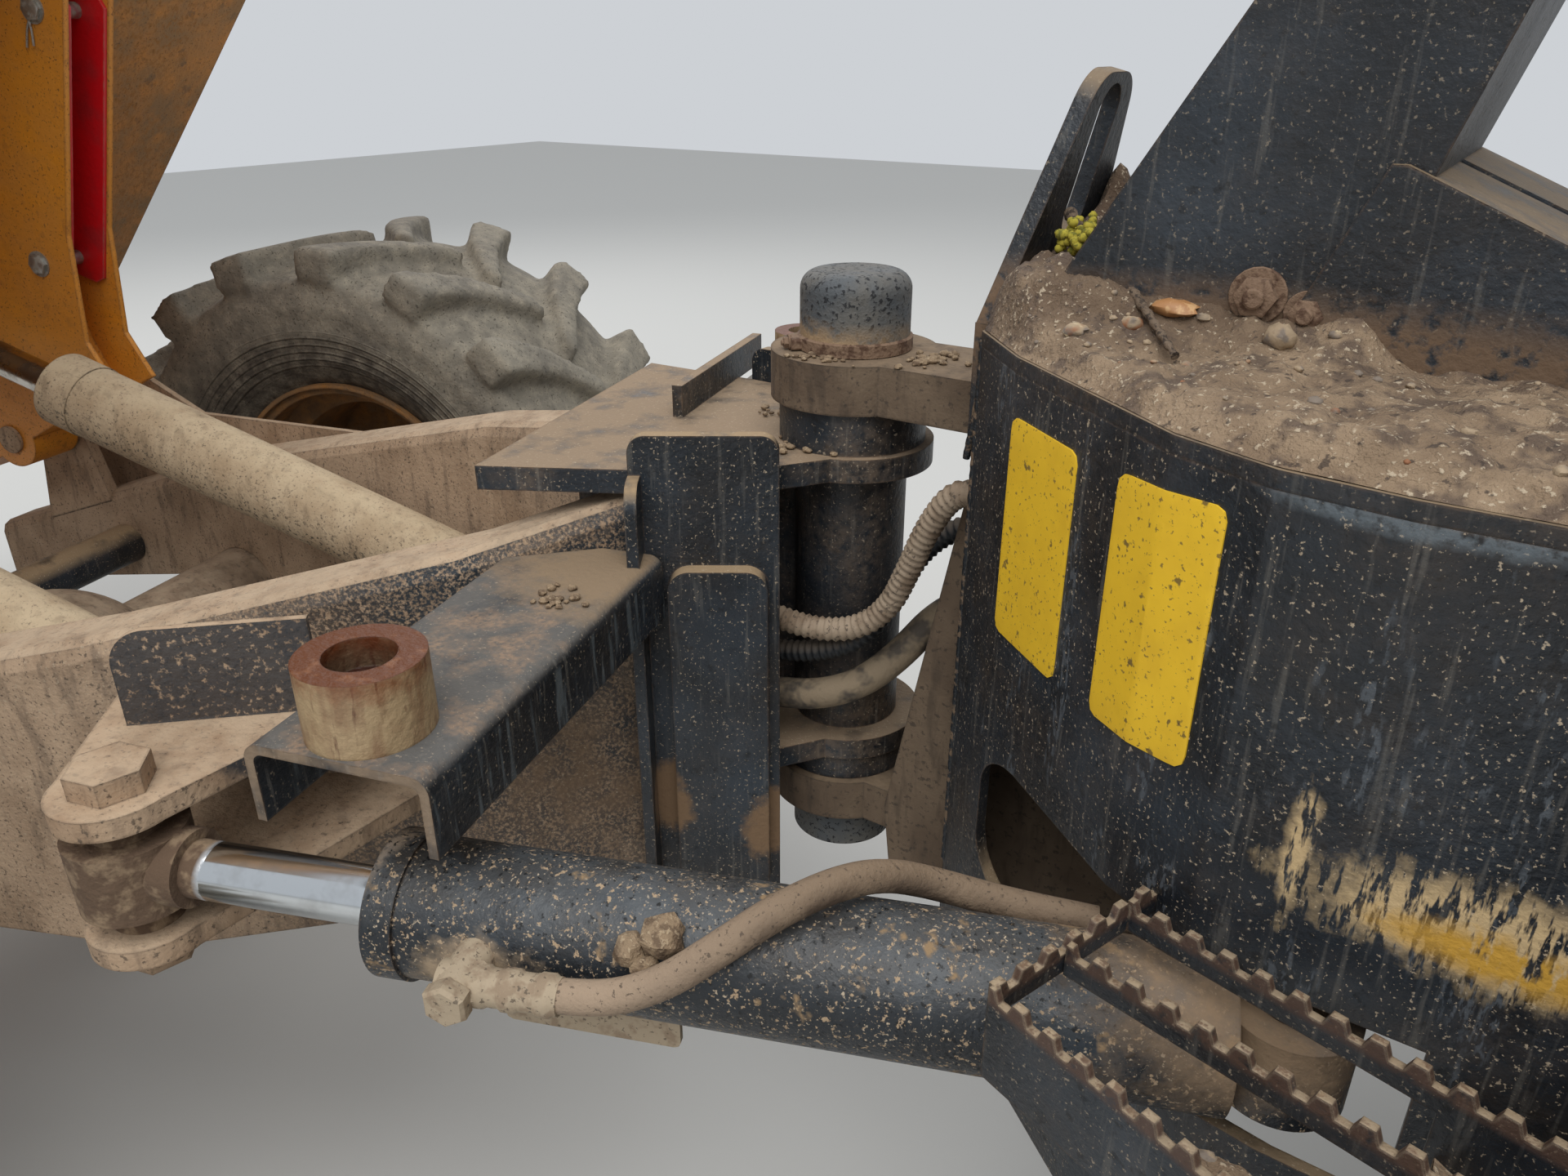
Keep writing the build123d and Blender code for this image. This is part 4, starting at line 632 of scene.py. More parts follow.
mud_rows, mud_cols = 126, 150
mud_x = np.linspace(-202, -898, mud_rows)[:, None]
mud_side = (np.interp(mud_x, nose_x, nose_y) - 3) * np.linspace(-1, 1, mud_cols)[None, :]
mud_top = np.stack([mud_x + 0 * mud_side, mud_side, deck_z + mud_height(mud_x, mud_side)], -1)
mud_foot = mud_top[:, [-1, 0]] * (1, 0.98, 0) + (0, 0, deck_z - 2)
mud = coat("damp_deck_mud", "#7a6651", 0.95)
over(mud, "#927d65", 0.97, spots(mud, 60, 0.42, 0.62))
over(mud, "#5b4939", 0.9, near(mud, rear((-330, 0, 1340)), (0.24, 0.23, 0.2), 0.45, 0.3))
speckled(mud, "#54453a", 0.85, (26, 0.5, 0.62), 0.8)
speckled(mud, "#b7a78f", 0.9, (5, 0.6, 0.66), 0.8)
speckled(mud, "#3d322b", 0.9, (8, 0.62, 0.68), 0.8)
relief(mud, spots(mud, 5, 0.25, 0.8), 2.5)
skin("deck_mud", [rear(np.concatenate([mud_top, mud_foot], 1))], mud, sharp=60)


# Stones trodden into the mud: mostly grit under ten millimetres, some pebbles, a round one by the
# console's bolts and a flat orange one beside the twig.
def pebble(place, size, seed, flat=0.7):
    """A stone skin: O + k(a, b) s (sin b cos a, sin b sin a, f cos b), k random about one for each point."""
    rng = np.random.default_rng(seed)
    b = np.linspace(0.35, math.pi - 0.35, 6)[:, None]
    a = np.linspace(0, 2 * math.pi, 9, endpoint=False)[None, :]
    bulge = 1 + rng.uniform(-0.16, 0.16, (6, 9))
    stretch = np.array((rng.uniform(0.8, 1.3), rng.uniform(0.75, 1.1), flat)) * size
    turn = rng.uniform(0, math.pi)
    round_x, round_y = np.sin(b) * np.cos(a) * bulge, np.sin(b) * np.sin(a) * bulge
    x, y = round_x * stretch[0], round_y * stretch[1]
    z = np.cos(b) * bulge * stretch[2]
    spun = np.stack([x * math.cos(turn) - y * math.sin(turn), x * math.sin(turn) + y * math.cos(turn), z], -1)
    return np.asarray(place, float) + spun


def on_mud(x, y, lift):
    """A point this far above the deck's mud."""
    return (x, y, deck_z + float(mud_height(x, y)) + lift)


stone_rng = np.random.default_rng(11)
stone_count, stone_sizes, stone_shares = 420, [2, 3, 4.5, 8], [0.5, 0.32, 0.14, 0.04]
stones = []
for seed in range(stone_count):
    x = -215 - 640 * stone_rng.random() ** 1.3
    y = (float(np.interp(x, nose_x, nose_y)) - 14) * stone_rng.uniform(-1, 1)
    size = stone_rng.choice(stone_sizes, p=stone_shares)
    if abs(y) > console_half + 6 or x < console_back - 20:
        stones.append(pebble(on_mud(x, y, 0.2 * size), size, seed))
stones.append(pebble(on_mud(-442, 173, 5), 12, 901, 0.8))
pebbles = coat("river_gravel", "#a08c72", 0.75)
over(pebbles, "#7b6f63", 0.8, spots(pebbles, 34, 0.5, 0.56))
over(pebbles, "#8e5f40", 0.7, spots(pebbles, 41, 0.57, 0.62))
over(pebbles, "#c9b694", 0.6, spots(pebbles, 29, 0.6, 0.64))
relief(pebbles, spots(pebbles, 3, 0.3, 0.7), 0.3)
skin("deck_stones", [rear(grid) for grid in stones], pebbles, sharp=50)
flint = coat("orange_flint", "#a5764a", 0.5)
over(flint, "#c39b6d", 0.6, spots(flint, 9, 0.5, 0.6))
skin("deck_flint", [rear(pebble(on_mud(-362, 153, 2), 15, 902, 0.45))], flint, sharp=50)


# The twig that lies from the heap down over the mud: bark grey brown, with a tuft of yellow moss
# at its upper end.
def eased(points, step):
    """A path at equal steps through quadratic arcs (1-t)^2 A + 2t(1-t) P + t^2 B between the midpoints."""
    points = np.asarray(points, float)
    middle = (points[1:] + points[:-1]) / 2
    t = np.linspace(0, 1, 24, endpoint=False)[None, :, None]
    arcs = (1 - t) ** 2 * middle[:-1, None] + 2 * t * (1 - t) * points[1:-1, None] + t**2 * middle[1:, None]
    path = np.concatenate([points[:1], arcs.reshape(-1, 3), middle[-1:], points[-1:]])
    along = np.concatenate([[0], np.cumsum(np.linalg.norm(np.diff(path, axis=0), axis=1))])
    places = np.linspace(0, along[-1], round(along[-1] / step) + 1)
    return np.stack([np.interp(places, along, path[:, k]) for k in range(3)], -1)


def tube(path, radius, sides=14, across=(0, 1, 0)):
    """A round skin along a path: P + r (cos a U + sin a W), U square to the path and to across."""
    run = np.gradient(path, axis=0)
    u = np.cross(run, across)
    w = np.cross(run, u)
    u, w = u / np.linalg.norm(u, axis=1)[:, None], w / np.linalg.norm(w, axis=1)[:, None]
    a = np.linspace(0, 2 * math.pi, sides, endpoint=False)[None, :, None]
    r = np.broadcast_to(np.asarray(radius, float), len(path))[:, None, None]
    return path[:, None] + r * (np.cos(a) * u[:, None] + np.sin(a) * w[:, None])


bark = coat("wet_bark", "#6d5c4b", 0.8)
over(bark, "#3d3229", 0.85, spots(bark, 5, 0.5, 0.6))
relief(bark, spots(bark, 3, 0.3, 0.7), 0.8)
twig_run = ((-232, 40, 22), (-262, 72, 16), (-304, 118, 10), (-345, 165, 8), (-384, 214, 6))
twig_path = eased([on_mud(*point) for point in twig_run], 4)
twig_thick = 5.5 - 3 * np.linspace(0, 1, len(twig_path)) + 0.8 * np.sin(np.arange(len(twig_path)) * 1.7)
skin("deck_twig", [rear(tube(twig_path, twig_thick, 8, up))], bark, sharp=50)
moss_rng, moss_count, moss_spread = np.random.default_rng(5), 60, (9, 13, 7)
moss_places = twig_path[9] + moss_rng.normal(0, moss_spread, (moss_count, 3))
moss = coat("yellow_moss", "#a79a35", 0.95)
over(moss, "#6c6a24", 0.95, spots(moss, 6, 0.5, 0.6))
tufts = [rear(pebble(place, 4.5, 300 + i, 0.9)) for i, place in enumerate(moss_places)]
skin("deck_moss", tufts, moss, sharp=60)


# The nose's plates and seams: four blank plates of yellow plastic sheet glued to the folded skirt,
# and the fillet weld that runs down the front beside the sling plate.
def on_nose(along, height, off):
    """A point off the nose's face: distance along the outline from the front corner, height, distance out."""
    line = np.stack([nose_x, nose_y], -1)[::-1].astype(float)
    ends = np.concatenate([[0], np.cumsum(np.linalg.norm(np.diff(line, axis=0), axis=1))])
    x, y = np.interp(along, ends, line[:, 0]), np.interp(along, ends, line[:, 1])
    run_x = np.interp(along + 4, ends, line[:, 0]) - np.interp(along - 4, ends, line[:, 0])
    run_y = np.interp(along + 4, ends, line[:, 1]) - np.interp(along - 4, ends, line[:, 1])
    long = np.hypot(run_x, run_y)
    return np.stack(np.broadcast_arrays(x + off * run_y / long, y - off * run_x / long, height), -1)


def round_corners(wide, high, corner, points=80):
    """The outline of a plate at even steps: quarter circles about four centres, joined straight."""
    a = np.linspace(0, math.pi / 2, 7)
    arc = np.stack([np.cos(a), np.sin(a)], -1) * corner + (wide / 2 - corner, high / 2 - corner)
    loop = np.concatenate([arc, arc[::-1] * (-1, 1), -arc, arc[::-1] * (1, -1), arc[:1]])
    run = np.concatenate([[0], np.cumsum(np.linalg.norm(np.diff(loop, axis=0), axis=1))])
    even = np.linspace(0, run[-1], points, endpoint=False)
    return np.stack([np.interp(even, run, loop[:, 0]), np.interp(even, run, loop[:, 1])], -1)


paint = coat("yellow_blank_plate", "#f2c531", 0.4)
speckled(paint, "#dcae2c", 0.5, (50, 0.45, 0.7), 0.5)
speckled(paint, "#6b5530", 0.85, (4, 0.62, 0.66), 0.8)
speckled(paint, "#4a3c2c", 0.85, (14, 0.64, 0.68), 0.8)
relief(paint, spots(paint, 30, 0.3, 0.7), 0.3)
plate_wide, plate_high, plate_corner = 98, 186, 9
outline = round_corners(plate_wide, plate_high, plate_corner)
rings = [(1.0, -1.0), (1.0, 1.3)] + [(k, 1.6) for k in np.linspace(0.96, 0.03, 18)]
plates = []
for middle, height, drop in ((144, 1162, 0), (295, 1171, -4)):
    tilted = outline[:, 1] - drop * outline[:, 0] / (plate_wide / 2)
    plate = [on_nose(middle + k * outline[:, 0], height + k * tilted, off) for k, off in rings]
    plates += [rear(np.stack(plate) * (1, mirror, 1)) for mirror in (1, -1)]
skin("blank_plates", plates, paint, sharp=40)

steel = coat("painted_weld", "#1c2024", 0.5)
over(steel, "#6e5b48", 0.85, spots(steel, 9, 0.5, 0.6))
relief(steel, spots(steel, 4, 0.3, 0.7), 0.6)
front_seam = [(-201, 128, 1292), (-201, 129, 1020), (-201, 129, 748)]
sling_seam = [(-215, 112, 1299), (-201, 113, 1290), (-186, 113, 1180)]
welds = []
for mirror in (1, -1):
    for points in (front_seam, sling_seam):
        path = eased(points, 3) * (1, mirror, 1)
        welds.append(rear(tube(path, 3.2 + 0.7 * np.abs(np.sin(np.arange(len(path)) * 0.9)), 8)))
skin("nose_welds", welds, steel, sharp=60)


# The hoses through the pivot: a tan corrugated conduit, a black one behind it and a thick hose
# below them, tied to the rear nose and to the front chassis, with slack that hangs round the post.
ribbed_tan = coat("tan_corrugated_conduit", "#9a8873", 0.75)
over(ribbed_tan, "#7d6a56", 0.85, spots(ribbed_tan, 40, 0.45, 0.6))
speckled(ribbed_tan, "#4c4238", 0.8, (5, 0.58, 0.64), 0.8)
relief(ribbed_tan, spots(ribbed_tan, 4, 0.3, 0.7), 0.3)
ribbed_black = coat("black_corrugated_conduit", "#1d2023", 0.55)
over(ribbed_black, "#6d6154", 0.9, facing(ribbed_black, 0.1, 0.8), 0.7)
relief(ribbed_black, spots(ribbed_black, 4, 0.3, 0.7), 0.3)
thick_hose = coat("dusty_thick_hose", "#85755f", 0.85)
over(thick_hose, "#4d453c", 0.8, spots(thick_hose, 36, 0.48, 0.6))
relief(thick_hose, spots(thick_hose, 5, 0.3, 0.7), 0.5)
tan_rear = [(-200, 100, 1142), (-172, 100, 1142), (-144, 95, 1100), (-121, 88, 1044)]
tan_rear += [(-98, 84, 992), (-66, 95, 964), (-22, 109, 958), (30, 118, 966)]
tan_front = [(112, 88, 980), (170, 50, 985), (250, 50, 985)]
black_rear = [(-400, 20, 1094), (-280, 20, 1094), (-162, 24, 1086), (-112, 36, 1050)]
black_rear += [(-92, 52, 1000), (-66, 74, 944), (-28, 92, 926), (22, 100, 914)]
black_front = [(110, 86, 914), (170, 50, 918), (250, 50, 918)]
thick_rear = [(-400, -20, 1000), (-280, -20, 1000), (-165, -18, 990), (-116, 4, 958)]
thick_rear += [(-94, 40, 920), (-66, 76, 890), (-24, 97, 872), (28, 104, 862)]
thick_front = [(108, 84, 855), (168, 50, 852), (250, 50, 852)]
# Name, route in the rear axes and on in the front axes, radius, height of the ridges, material.
hoses = (
    ("conduit_tan", tan_rear, tan_front, 12.2, 1.2, ribbed_tan),
    ("conduit_black", black_rear, black_front, 11.2, 1.1, ribbed_black),
    ("hose_thick", thick_rear, thick_front, 17, 0.0, thick_hose),
)
for name, rear_part, front_part, radius, ridge, material in hoses:
    path = eased(np.concatenate([rear(rear_part), front(front_part)]) * 1000, 2.0 if ridge else 9.0)
    ripple = radius + ridge * np.cos(np.arange(len(path)) * math.pi / 2)
    hose = skin(name, [tube(path, ripple, 14) / 1000], material, None, 70)
    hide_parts("pivot_hoses")
    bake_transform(hose)


# Crumbs of dry mud on the pivot lug, the tail plate and the outrigger, and the two big
# clods that lie on the steering barrel.
clay = coat("dry_clay_crumbs", "#8f7a61", 0.95)
over(clay, "#6c5946", 0.95, spots(clay, 12, 0.5, 0.6))
speckled(clay, "#b09c80", 0.95, (4, 0.58, 0.64), 0.7)
relief(clay, spots(clay, 4, 0.25, 0.8), 1.5)
crumb_rng = np.random.default_rng(21)


def crumbs(place, spread, count, size):
    """Skins of small stones strewn round a point with this spread in x and y."""
    spots_xy = crumb_rng.normal(0, spread, (count, 2))
    sizes = size * crumb_rng.uniform(0.4, 1.2, count)
    seeds = crumb_rng.integers(1e6, size=count)
    return [
        pebble((place[0] + x, place[1] + y, place[2] + 0.25 * s), s, seed, 0.6)
        for (x, y), s, seed in zip(spots_xy, sizes, seeds)
    ]


tail_top, outrigger_top, lug_top = 1142, 1061, 1236
crumb_places = [(x, y, tail_top) for x, y in ((24, 54), (-14, -2), (100, -50), (56, 64), (150, 80))]
front_crumbs = []
for place in (*crumb_places, (190, 320, outrigger_top)):
    front_crumbs += crumbs(place, (14, 14), 16, 5)
skin("front_crumbs", [front(grid) for grid in front_crumbs], clay, "front_chassis", sharp=50)
lug_crumbs = crumbs((-100, 5, lug_top), (12, 22), 26, 5)
lug_crumbs += crumbs((0, 73, lug_top), (26, 5), 16, 4)
lug_crumbs += crumbs((-150, -20, lug_top), (10, 24), 14, 5)
skin("lug_crumbs", [rear(grid) for grid in lug_crumbs], clay, sharp=50)


# The steering ram's fittings: a forged hex elbow with a crimped collar, and the rubber hose that
# crosses over the barrel to the nose, all beige with dust. A bracket plate hangs under the barrel.
def polygon(sides, radius):
    """The corners of a regular polygon: R (cos a, sin a)."""
    a = np.linspace(0, 2 * math.pi, sides, endpoint=False)
    return radius * np.stack([np.cos(a), np.sin(a)], -1)


def stacked(outline, rings, origin, x_dir, y_dir):
    """A skin of one outline raised in rings: O + k (x X + y Y) + h Z, each ring a scale k and a height h."""
    x_dir, y_dir, rings = np.asarray(x_dir, float), np.asarray(y_dir, float), np.asarray(rings, float)
    flat = outline[:, :1] * x_dir + outline[:, 1:] * y_dir
    return np.asarray(origin, float) + rings[:, :1, None] * flat + rings[:, 1:, None] * np.cross(x_dir, y_dir)


def hex_bolt(origin, x_dir, y_dir, radius, high):
    """Skins of a washer, a chamfered hexagon head and the end of the bolt."""
    washer = (20, 1.35, [(1, -2), (1, 0.14 * high), (0.96, 0.2 * high)])
    head = (6, 1, [(0.9, -2), (1, 0.14 * high), (1, 0.9 * high), (0.85, high)])
    bolt_end = (12, 0.5, [(1, -2), (1, high * 1.3), (0.8, high * 1.4)])
    return [
        stacked(polygon(sides, radius * wide), rings, origin, x_dir, y_dir)
        for sides, wide, rings in (washer, head, bolt_end)
    ]


hose_route = [(515, 76, 6), (470, 76, 12), (430, 70, 30), (394, 54, 54), (358, 28, 73)]
hose_route += [(322, -4, 78), (290, -34, 69), (254, -60, 46), (200, -70, 28), (128, -70, 22)]
hose_path = eased([on_ram(*point) * 1000 for point in hose_route], 7) / 1000
rubber = coat("dusty_rubber_hose", "#7e6b57", 0.85)
over(rubber, "#564638", 0.8, spots(rubber, 40, 0.42, 0.6), facing(rubber, 0.9, -0.1))
over(rubber, "#a5907a", 0.92, near(rubber, on_ram(515, 76, 6), (0.2, 0.2, 0.2), 0.8), 0.75)
speckled(rubber, "#3c3129", 0.8, (4, 0.6, 0.66), 0.7)
relief(rubber, spots(rubber, 5, 0.3, 0.7), 0.6)
hose_grid = tube(hose_path, 0.0128, 16, up)
ram_hose = skin("ram_hose_rubber", [hose_grid], rubber, "steer_barrel", 70)
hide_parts("ram_hose")

steel = coat("dusty_zinc_fitting", "#a8977f", 0.8)
over(steel, "#93806a", 0.9, spots(steel, 16, 0.5, 0.62))
speckled(steel, "#54493d", 0.8, (5, 0.6, 0.66), 0.8)
relief(steel, spots(steel, 5, 0.3, 0.7), 0.25)
elbow_rings = [(1, -0.02), (1, 0.036), (0.94, 0.039)]
plug_rings = [(0.9, 0), (1, 0.003), (1, 0.013), (0.86, 0.016)]
nut_rings = [(0.9, 0), (1, 0.003), (1, 0.016), (0.9, 0.019)]
elbow = stacked(polygon(28, 0.0165), elbow_rings, on_ram(585, 54, 8), ram_up, ram_run)
plug = stacked(polygon(6, 0.0185), plug_rings, on_ram(585, 92, 8), ram_up, ram_run)
lock_nut = stacked(polygon(6, 0.0175), nut_rings, on_ram(566, 79, 7.5), ram_left, ram_up)
collar_run = ((600, 80, 8), (556, 79, 7), (508, 76, 6))
collar_path = eased([on_ram(*point) * 1000 for point in collar_run], 3) / 1000
collar_ring = 0.0152 + 0.0009 * np.sign(np.sin(np.arange(len(collar_path)) * 0.75))
collar = tube(collar_path, collar_ring, 20, up)
skin("ram_hose_fitting", [elbow, plug, lock_nut, collar], steel, "steer_barrel")
bracket_edge = round_corners(0.15, 0.046, 0.006)
bracket = stacked(bracket_edge, [(1, 0), (1, 0.006)], on_ram(515, 14, -72), ram_run, ram_up)
skin("ram_bracket", [bracket], steel, "steer_barrel")
clod_sizes = (((440, 42, 46), 19), ((462, 48, 36), 13), ((449, 56, 30), 9))
clods = [pebble(on_ram(*place) * 1000, size, 500 + size, 0.85) / 1000 for place, size in clod_sizes]
skin("barrel_clods", clods, clay, "steer_barrel", sharp=40)


# The pins, nuts and spring clips of the skip's two safety props: zinc plated steel. The plating is
# dull, and rust shows through in spots.
zinc = coat("dull_zinc_plate", "#b4b3ae", 0.4, 0.9)
speckled(zinc, "#8f8270", 0.8, (12, 0.5, 0.62), 0.8, 0.1)
speckled(zinc, "#6d4a30", 0.85, (6, 0.6, 0.68), 0.7, 0.0)
relief(zinc, spots(zinc, 4, 0.3, 0.7), 0.2)
skip_axle, skip_lift = (1660, 870), math.radians(48)


def in_skip(x, y, z):
    """Millimetres in the front axes for a point of the skip, which is turned up about its axle."""
    out = x * math.cos(skip_lift) + z * math.sin(skip_lift)
    return (skip_axle[0] + out, y, skip_axle[1] - x * math.sin(skip_lift) + z * math.cos(skip_lift))


arm_top, arm_slope, pin_depth = (-772, 203), math.atan2(-145, 327), 55
arm_outside, arm_inside, clip_y, upper_pin, lower_pin = 413, 322, 318.5, 31, 427
prop_parts, clips = [], []
for distance in (upper_pin, lower_pin):
    x = arm_top[0] + distance * math.cos(arm_slope) - pin_depth * math.sin(arm_slope)
    z = arm_top[1] + distance * math.sin(arm_slope) + pin_depth * math.cos(arm_slope)
    for side in (1, -1):
        outer, inner = in_skip(x, side * arm_outside, z), in_skip(x, side * arm_inside, z)
        prop_parts += [
            stacked(polygon(20, 11.8), [(1, -91), (1, -1)], outer, ahead, (0, 0, -side)),
            stacked(polygon(20, 21), [(1, -1), (1, 2)], inner, ahead, (0, 0, side)),
            stacked(polygon(6, 17), [(0.94, 1), (1, 2.5), (1, 7), (0.9, 8)], inner, ahead, (0, 0, side)),
        ]
    if distance == upper_pin:
        out, _, height = in_skip(x, 0, z)
        wire = [(26, -52), (17, -26), (6, -12), (-11, -5), (-10, 9), (5, 11), (12, -4), (8, -24), (12, -50)]
        for y in (clip_y, -clip_y):
            clips.append(eased([(out + dx, y, height + dz) for dx, dz in wire], 2))
prop_parts += [tube(path, 1.7, 8) for path in clips]
skin("prop_pins", [front(grid) for grid in prop_parts], zinc, "skip")

# The bolts through the console's foot and the clamp band round the pivot's dome: plain steel, rusty
# and caked with mud.
console_bolts = hex_bolt((-417, console_half, 1355), ahead, down, 15, 12)
console_bolts += hex_bolt((-452, console_half, 1346), ahead, down, 12, 10)
console_bolts += hex_bolt((-417, -console_half, 1355), ahead, up, 15, 12)
steel = coat("rusty_muddy_bolts", "#7c6450", 0.85)
over(steel, "#553d2d", 0.8, spots(steel, 9, 0.5, 0.62))
relief(steel, spots(steel, 4, 0.3, 0.7), 0.6)
skin("console_bolts", [rear(grid) for grid in console_bolts], steel)

band_middle, askew = 1242, (-0.7071, 0.7071, 0)
band_rings = [(0.94, band_middle - 8), (1, band_middle - 6), (1, band_middle + 6), (0.94, band_middle + 8)]
band = stacked(polygon(56, 60), band_rings, (0, 0, 0), ahead, left)
clip = stacked(round_corners(26, 12, 3), [(1, 0), (1, 11)], (41, 41, band_middle), askew, up)
band_parts = [band, clip] + hex_bolt((49, 49, band_middle), askew, up, 6, 6)
skin("dome_band", [rear(grid) for grid in band_parts], steel)


# What lies in the left step tray: a sheet floor between the two outer toothed plates, with wet
# gravel and clay on it.
tray_rail = ((-740, -405), (618, 498))
tray_floor_z, tray_bend_x, tray_wide_rows, tray_rows_behind = 909, -655, 46, 22
tray_x = np.linspace(-482, tray_bend_x, tray_wide_rows)
tray_x = np.concatenate([tray_x, np.linspace(tray_bend_x - 1, -737, tray_rows_behind)])[:, None]
tray_y0, tray_y1 = np.where(tray_x > tray_bend_x - 0.5, 493.0, 378.0), np.interp(tray_x, *tray_rail) - 5
tray_y = tray_y0 + (tray_y1 - tray_y0) * np.linspace(0, 1, 40)[None, :]
tray_rise = 7 + 12 * lumps(tray_x, tray_y, 40, 7)
tray_rise += 7 * lumps(tray_x, tray_y, 12, 8) + 3 * lumps(tray_x, tray_y, 6, 9)
tray_top_grid = np.stack([tray_x + 0 * tray_y, tray_y, tray_floor_z + tray_rise], -1)
tray_under = np.stack([tray_x + 0 * tray_y, tray_y, 0 * tray_y + tray_floor_z], -1)[:, [-1, 0]]
skin("tray_mud", [rear(np.concatenate([tray_top_grid, tray_under], 1))], mud, sharp=60)
sheet_ring = np.concatenate([tray_under, tray_under[:, ::-1] - (0, 0, 4)], 1)[:tray_wide_rows]
skin("tray_sheet", [rear(sheet_ring)], step_paint)
tray_rng = np.random.default_rng(31)
tray_stone_count = 90
tray_stones = []
for seed in range(tray_stone_count):
    x = tray_rng.uniform(-730, -490)
    y = 496 + (np.interp(x, *tray_rail) - 14 - 496) * tray_rng.random()
    z = tray_floor_z + 13 + 5 * tray_rng.random()
    tray_stones.append(pebble((x, y, z), tray_rng.choice([3, 4.5, 7]), 700 + seed))
skin("tray_stones", [rear(grid) for grid in tray_stones], pebbles, sharp=50)


# The wheels' fasteners: ten studs and nuts on each disc and a domed hub cover with its small
# bolts, all painted over with the rim's orange and dulled by mud.
paint = coat("muddy_wheel_nuts", "#9a6a2c", 0.7)
over(paint, "#7d6a55", 0.9, spots(paint, 14, 0.42, 0.58))
speckled(paint, "#4b3a2b", 0.85, (6, 0.56, 0.66), 0.8)
relief(paint, spots(paint, 5, 0.3, 0.7), 0.5)
stud_ring, disc_face = 185, 78
bolt_ring, hub_face = 104, 108
cover = [(1, 107), (1, 119), (0.92, 126), (0.5, 131), (0.3, 131), (0.27, 138), (0.05, 139)]
for end, place, axle_x in axles:
    for side, way in (("left", 1), ("right", -1)):
        centre = np.array((axle_x, way * half_track, wheel_height), float)
        inward = (0, 0, -way)
        parts = []
        for turn in np.radians(np.arange(10) * 36):
            stud = centre + (stud_ring * math.cos(turn), way * disc_face, stud_ring * math.sin(turn))
            parts += hex_bolt(stud, ahead, inward, 16, 16)
        for turn in np.radians(np.arange(8) * 45 + 22):
            small = centre + (bolt_ring * math.cos(turn), way * hub_face, bolt_ring * math.sin(turn))
            parts += hex_bolt(small, ahead, inward, 9, 7)[1:2]
        parts.append(stacked(polygon(48, 82), cover, centre, ahead, inward))
        name = f"wheel_nuts_{end}_{side}"
        skin(name, [place(grid) for grid in parts], paint, f"wheel_{end}_{side}")


# The seat: foam cushions under black vinyl, crowned in the middle, with sewn channels across them
# and a worn, dusty top.
def cushion(centre, reach, deep_dir, channels, crown):
    """A crowned pad: superellipse sections |y/w|^n + |z/t|^n = 1 along u, w and t eased to both ends."""
    u = np.sin(np.linspace(-math.pi / 2, math.pi / 2, 84))[:, None]
    a = np.linspace(0, 2 * math.pi, 112, endpoint=False)[None, :]
    fade = (1 - np.abs(u) ** 9) ** (1 / 9)
    side = np.sign(np.cos(a)) * np.abs(np.cos(a)) ** 0.36
    rise = np.sign(np.sin(a)) * np.abs(np.sin(a)) ** 0.5
    top = np.clip(np.sin(a), 0, 1)
    seam = sum(np.exp(-(((u - place) / 0.035) ** 2)) for place in channels)
    swell = crown * (1 - u**2) * (1 - 0.8 * side**2) * top - 0.09 * seam * top**0.3
    low = 1 - 2 * crown
    thick = rise * fade**0.6 * np.where(rise > 0, low, 1) + swell * 2
    long, wide, deep = reach
    flat = np.cross(deep_dir, left)
    points = np.asarray(centre, float) + (u * long)[..., None] * flat
    points = points + (side * fade * wide)[..., None] * left
    return points + (thick * deep)[..., None] * np.asarray(deep_dir, float)


vinyl = coat("worn_black_vinyl", "#202225", 0.55)
speckled(vinyl, "#34363a", 0.65, (120, 0.4, 0.65), 0.6)
speckled(vinyl, "#7a6f60", 0.9, (8, 0.55, 0.64), 0.5)
relief(vinyl, spots(vinyl, 2.2, 0.3, 0.7), 0.25)
pad_crown = 0.12
seat = cushion((-1160, 0, 1613), (228, 232, 54), up, (-0.55, -0.18, 0.18, 0.55), pad_crown)
seat_cushion = skin("seat_cushion", [rear(seat)], vinyl, sharp=60)
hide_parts("seat_pad")
back = cushion((-1456, 0, 1900), (218, 232, 44), ahead, (-0.6, -0.25, 0.1, 0.45), pad_crown)
back_cushion = skin("back_cushion", [rear(back)], vinyl, sharp=60)
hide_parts("seat_back")


# The work lamps and the beacon on the roll-over frame: black plastic shells, clear lenses with
# moulded ribs, and an amber dome with upright flutes.
shell_plastic = coat("black_lamp_shell", "#191a1c", 0.45)
over(shell_plastic, "#6a6055", 0.9, facing(shell_plastic, 0.4, 0.9), spots(shell_plastic, 20, 0.4, 0.6))
relief(shell_plastic, spots(shell_plastic, 3, 0.3, 0.7), 0.2)
lens_glass = coat("ribbed_lamp_lens", "#cfd6d8", 0.12, 0.25)
speckled(lens_glass, "#9a9284", 0.6, (14, 0.5, 0.62), 0.5)
place = node(lens_glass, "TexCoord").outputs["Object"]
stripe = node(lens_glass, "TexWave", {"bands_direction": "Y"}, Vector=place, Scale=34.0)
relief(lens_glass, stripe.outputs["Fac"], 1.2)
lamp_x, lamp_y, lamp_z = -1490, 480, 3020
shell_rings = [(0.6, -29), (0.86, -22), (0.97, -6), (1, 6), (1, 27), (0.9, 29), (0.89, 18)]
glass_rings = [(1, 10), (1, 19), (0.9, 22), (0.5, 24)]
shells, lenses = [], []
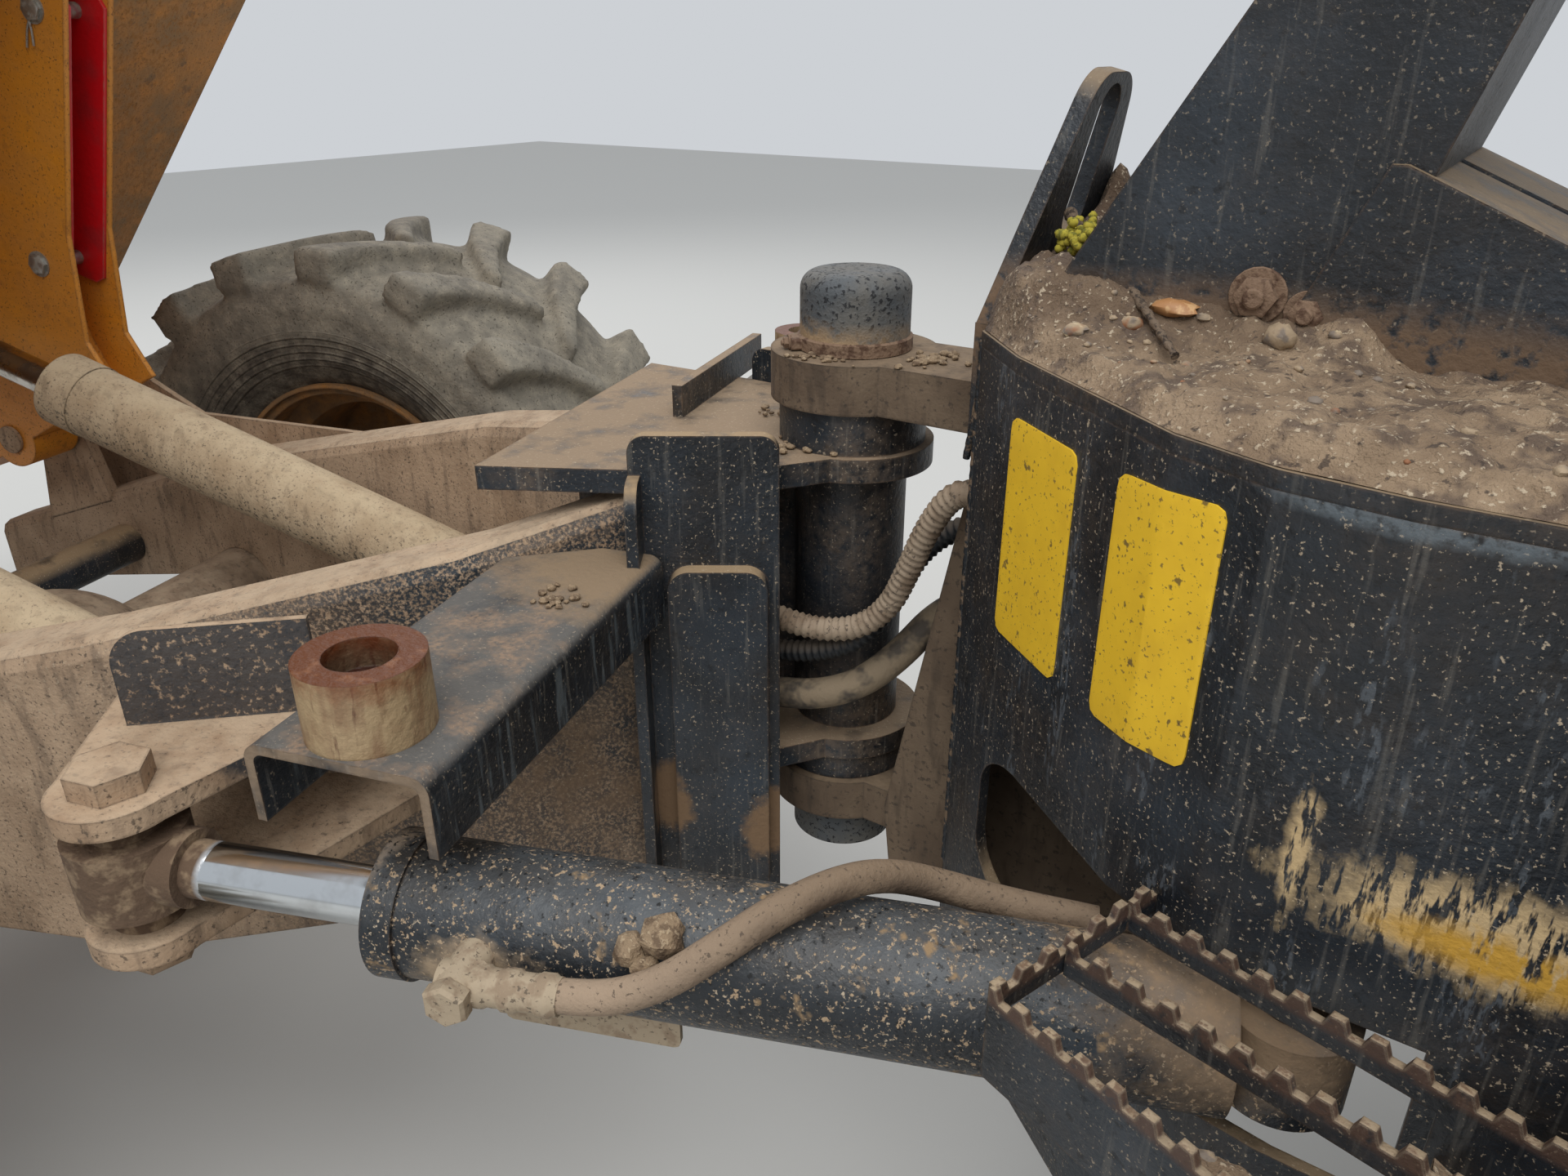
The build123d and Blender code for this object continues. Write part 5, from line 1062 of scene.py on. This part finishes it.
for y in (lamp_y, -lamp_y):
    middle, strap = (lamp_x, y, lamp_z), (lamp_x - 22, y, lamp_z - 54)
    shells.append(rear(stacked(round_corners(109, 109, 20), shell_rings, middle, left, up)))
    shells.append(rear(stacked(round_corners(30, 60, 5), [(1, 0), (1, 6)], strap, left, up)))
    lenses.append(rear(stacked(round_corners(99, 99, 16), glass_rings, middle, left, up)))
lamp_shells = skin("lamp_shells", shells, shell_plastic)
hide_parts("lamps")
skin("lamp_lenses", lenses, lens_glass)

amber = coat("amber_beacon_lens", "#e07a10", 0.15)
speckled(amber, "#a9772f", 0.5, (18, 0.5, 0.64), 0.4)
amber.node_tree.nodes["Principled BSDF"].inputs["Transmission Weight"].default_value = 0.25
relief(amber, spots(amber, 12, 0.3, 0.7), 0.2)
beacon_foot = (-1560, 300, 3180)
dome_outline = polygon(96, 50) * (1 + 0.02 * np.cos(np.arange(96) * math.pi / 2))[:, None]
dome_rings = [(1, 22), (1, 106), (0.97, 120), (0.88, 134), (0.7, 143), (0.4, 148), (0.1, 149)]
base_rings = [(1, 0), (1, 16), (0.95, 21), (0.8, 23)]
dome = stacked(dome_outline, dome_rings, beacon_foot, ahead, left)
base = stacked(polygon(48, 59), base_rings, beacon_foot, ahead, left)
beacon_lens = skin("beacon_lens", [rear(dome)], amber, sharp=50)
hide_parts("beacon")
skin("beacon_base", [rear(base)], shell_plastic)


# The driver's controls: the steering wheel's moulded rubber, round gauges on the console's slope
# and two short levers with ball knobs. The bonnet has a bent rod handle on each side.
rubber = coat("moulded_steering_wheel", "#1b1c1e", 0.5)
speckled(rubber, "#3a3835", 0.65, (30, 0.45, 0.6), 0.5)
relief(rubber, spots(rubber, 3, 0.3, 0.7), 0.3)
dress(rubber, "steering_wheel")
slope = (0.829, 0, 0.56)
bezel_rings, face_rings = [(1, -3), (1, 7), (0.9, 9), (0.88, 4)], [(1, -2), (1, 5.2)]
gauges, faces = [], []
for y in (-96, -48, 62, 110):
    dial = (-627, y, 1865)
    gauges.append(rear(stacked(polygon(36, 21), bezel_rings, dial, slope, left)))
    faces.append(rear(stacked(polygon(36, 18.6), face_rings, dial, slope, left)))
lever = eased([(-606, -124, 1876), (-610, -126, 1900), (-628, -130, 1932)], 4)
second = eased([(-606, 132, 1876), (-610, 134, 1896), (-624, 136, 1920)], 4)
gauges += [rear(tube(path, 4, 10)) for path in (lever, second)]
gauges += [rear(pebble(path[-1], 11, 1, 0.95)) for path in (lever, second)]
skin("console_controls", gauges, shell_plastic, sharp=40)
gauge_face = coat("grey_gauge_faces", "#8d9396", 0.25)
speckled(gauge_face, "#5f5a52", 0.6, (9, 0.5, 0.64), 0.5)
skin("gauge_faces", faces, gauge_face, sharp=40)
bonnet_side, handle_out, handle_z = 431, 34, 1660
handles = []
for y in (bonnet_side, -bonnet_side):
    grip = y + math.copysign(handle_out, y)
    handle_run = ((-1840, y), (-1840, grip), (-1930, grip), (-1930, y))
    handle_path = eased([(x, y, handle_z) for x, y in handle_run], 4)
    handles.append(rear(tube(handle_path, 6, 12, up)))
skin("bonnet_handles", handles, zinc, "bonnet", 50)
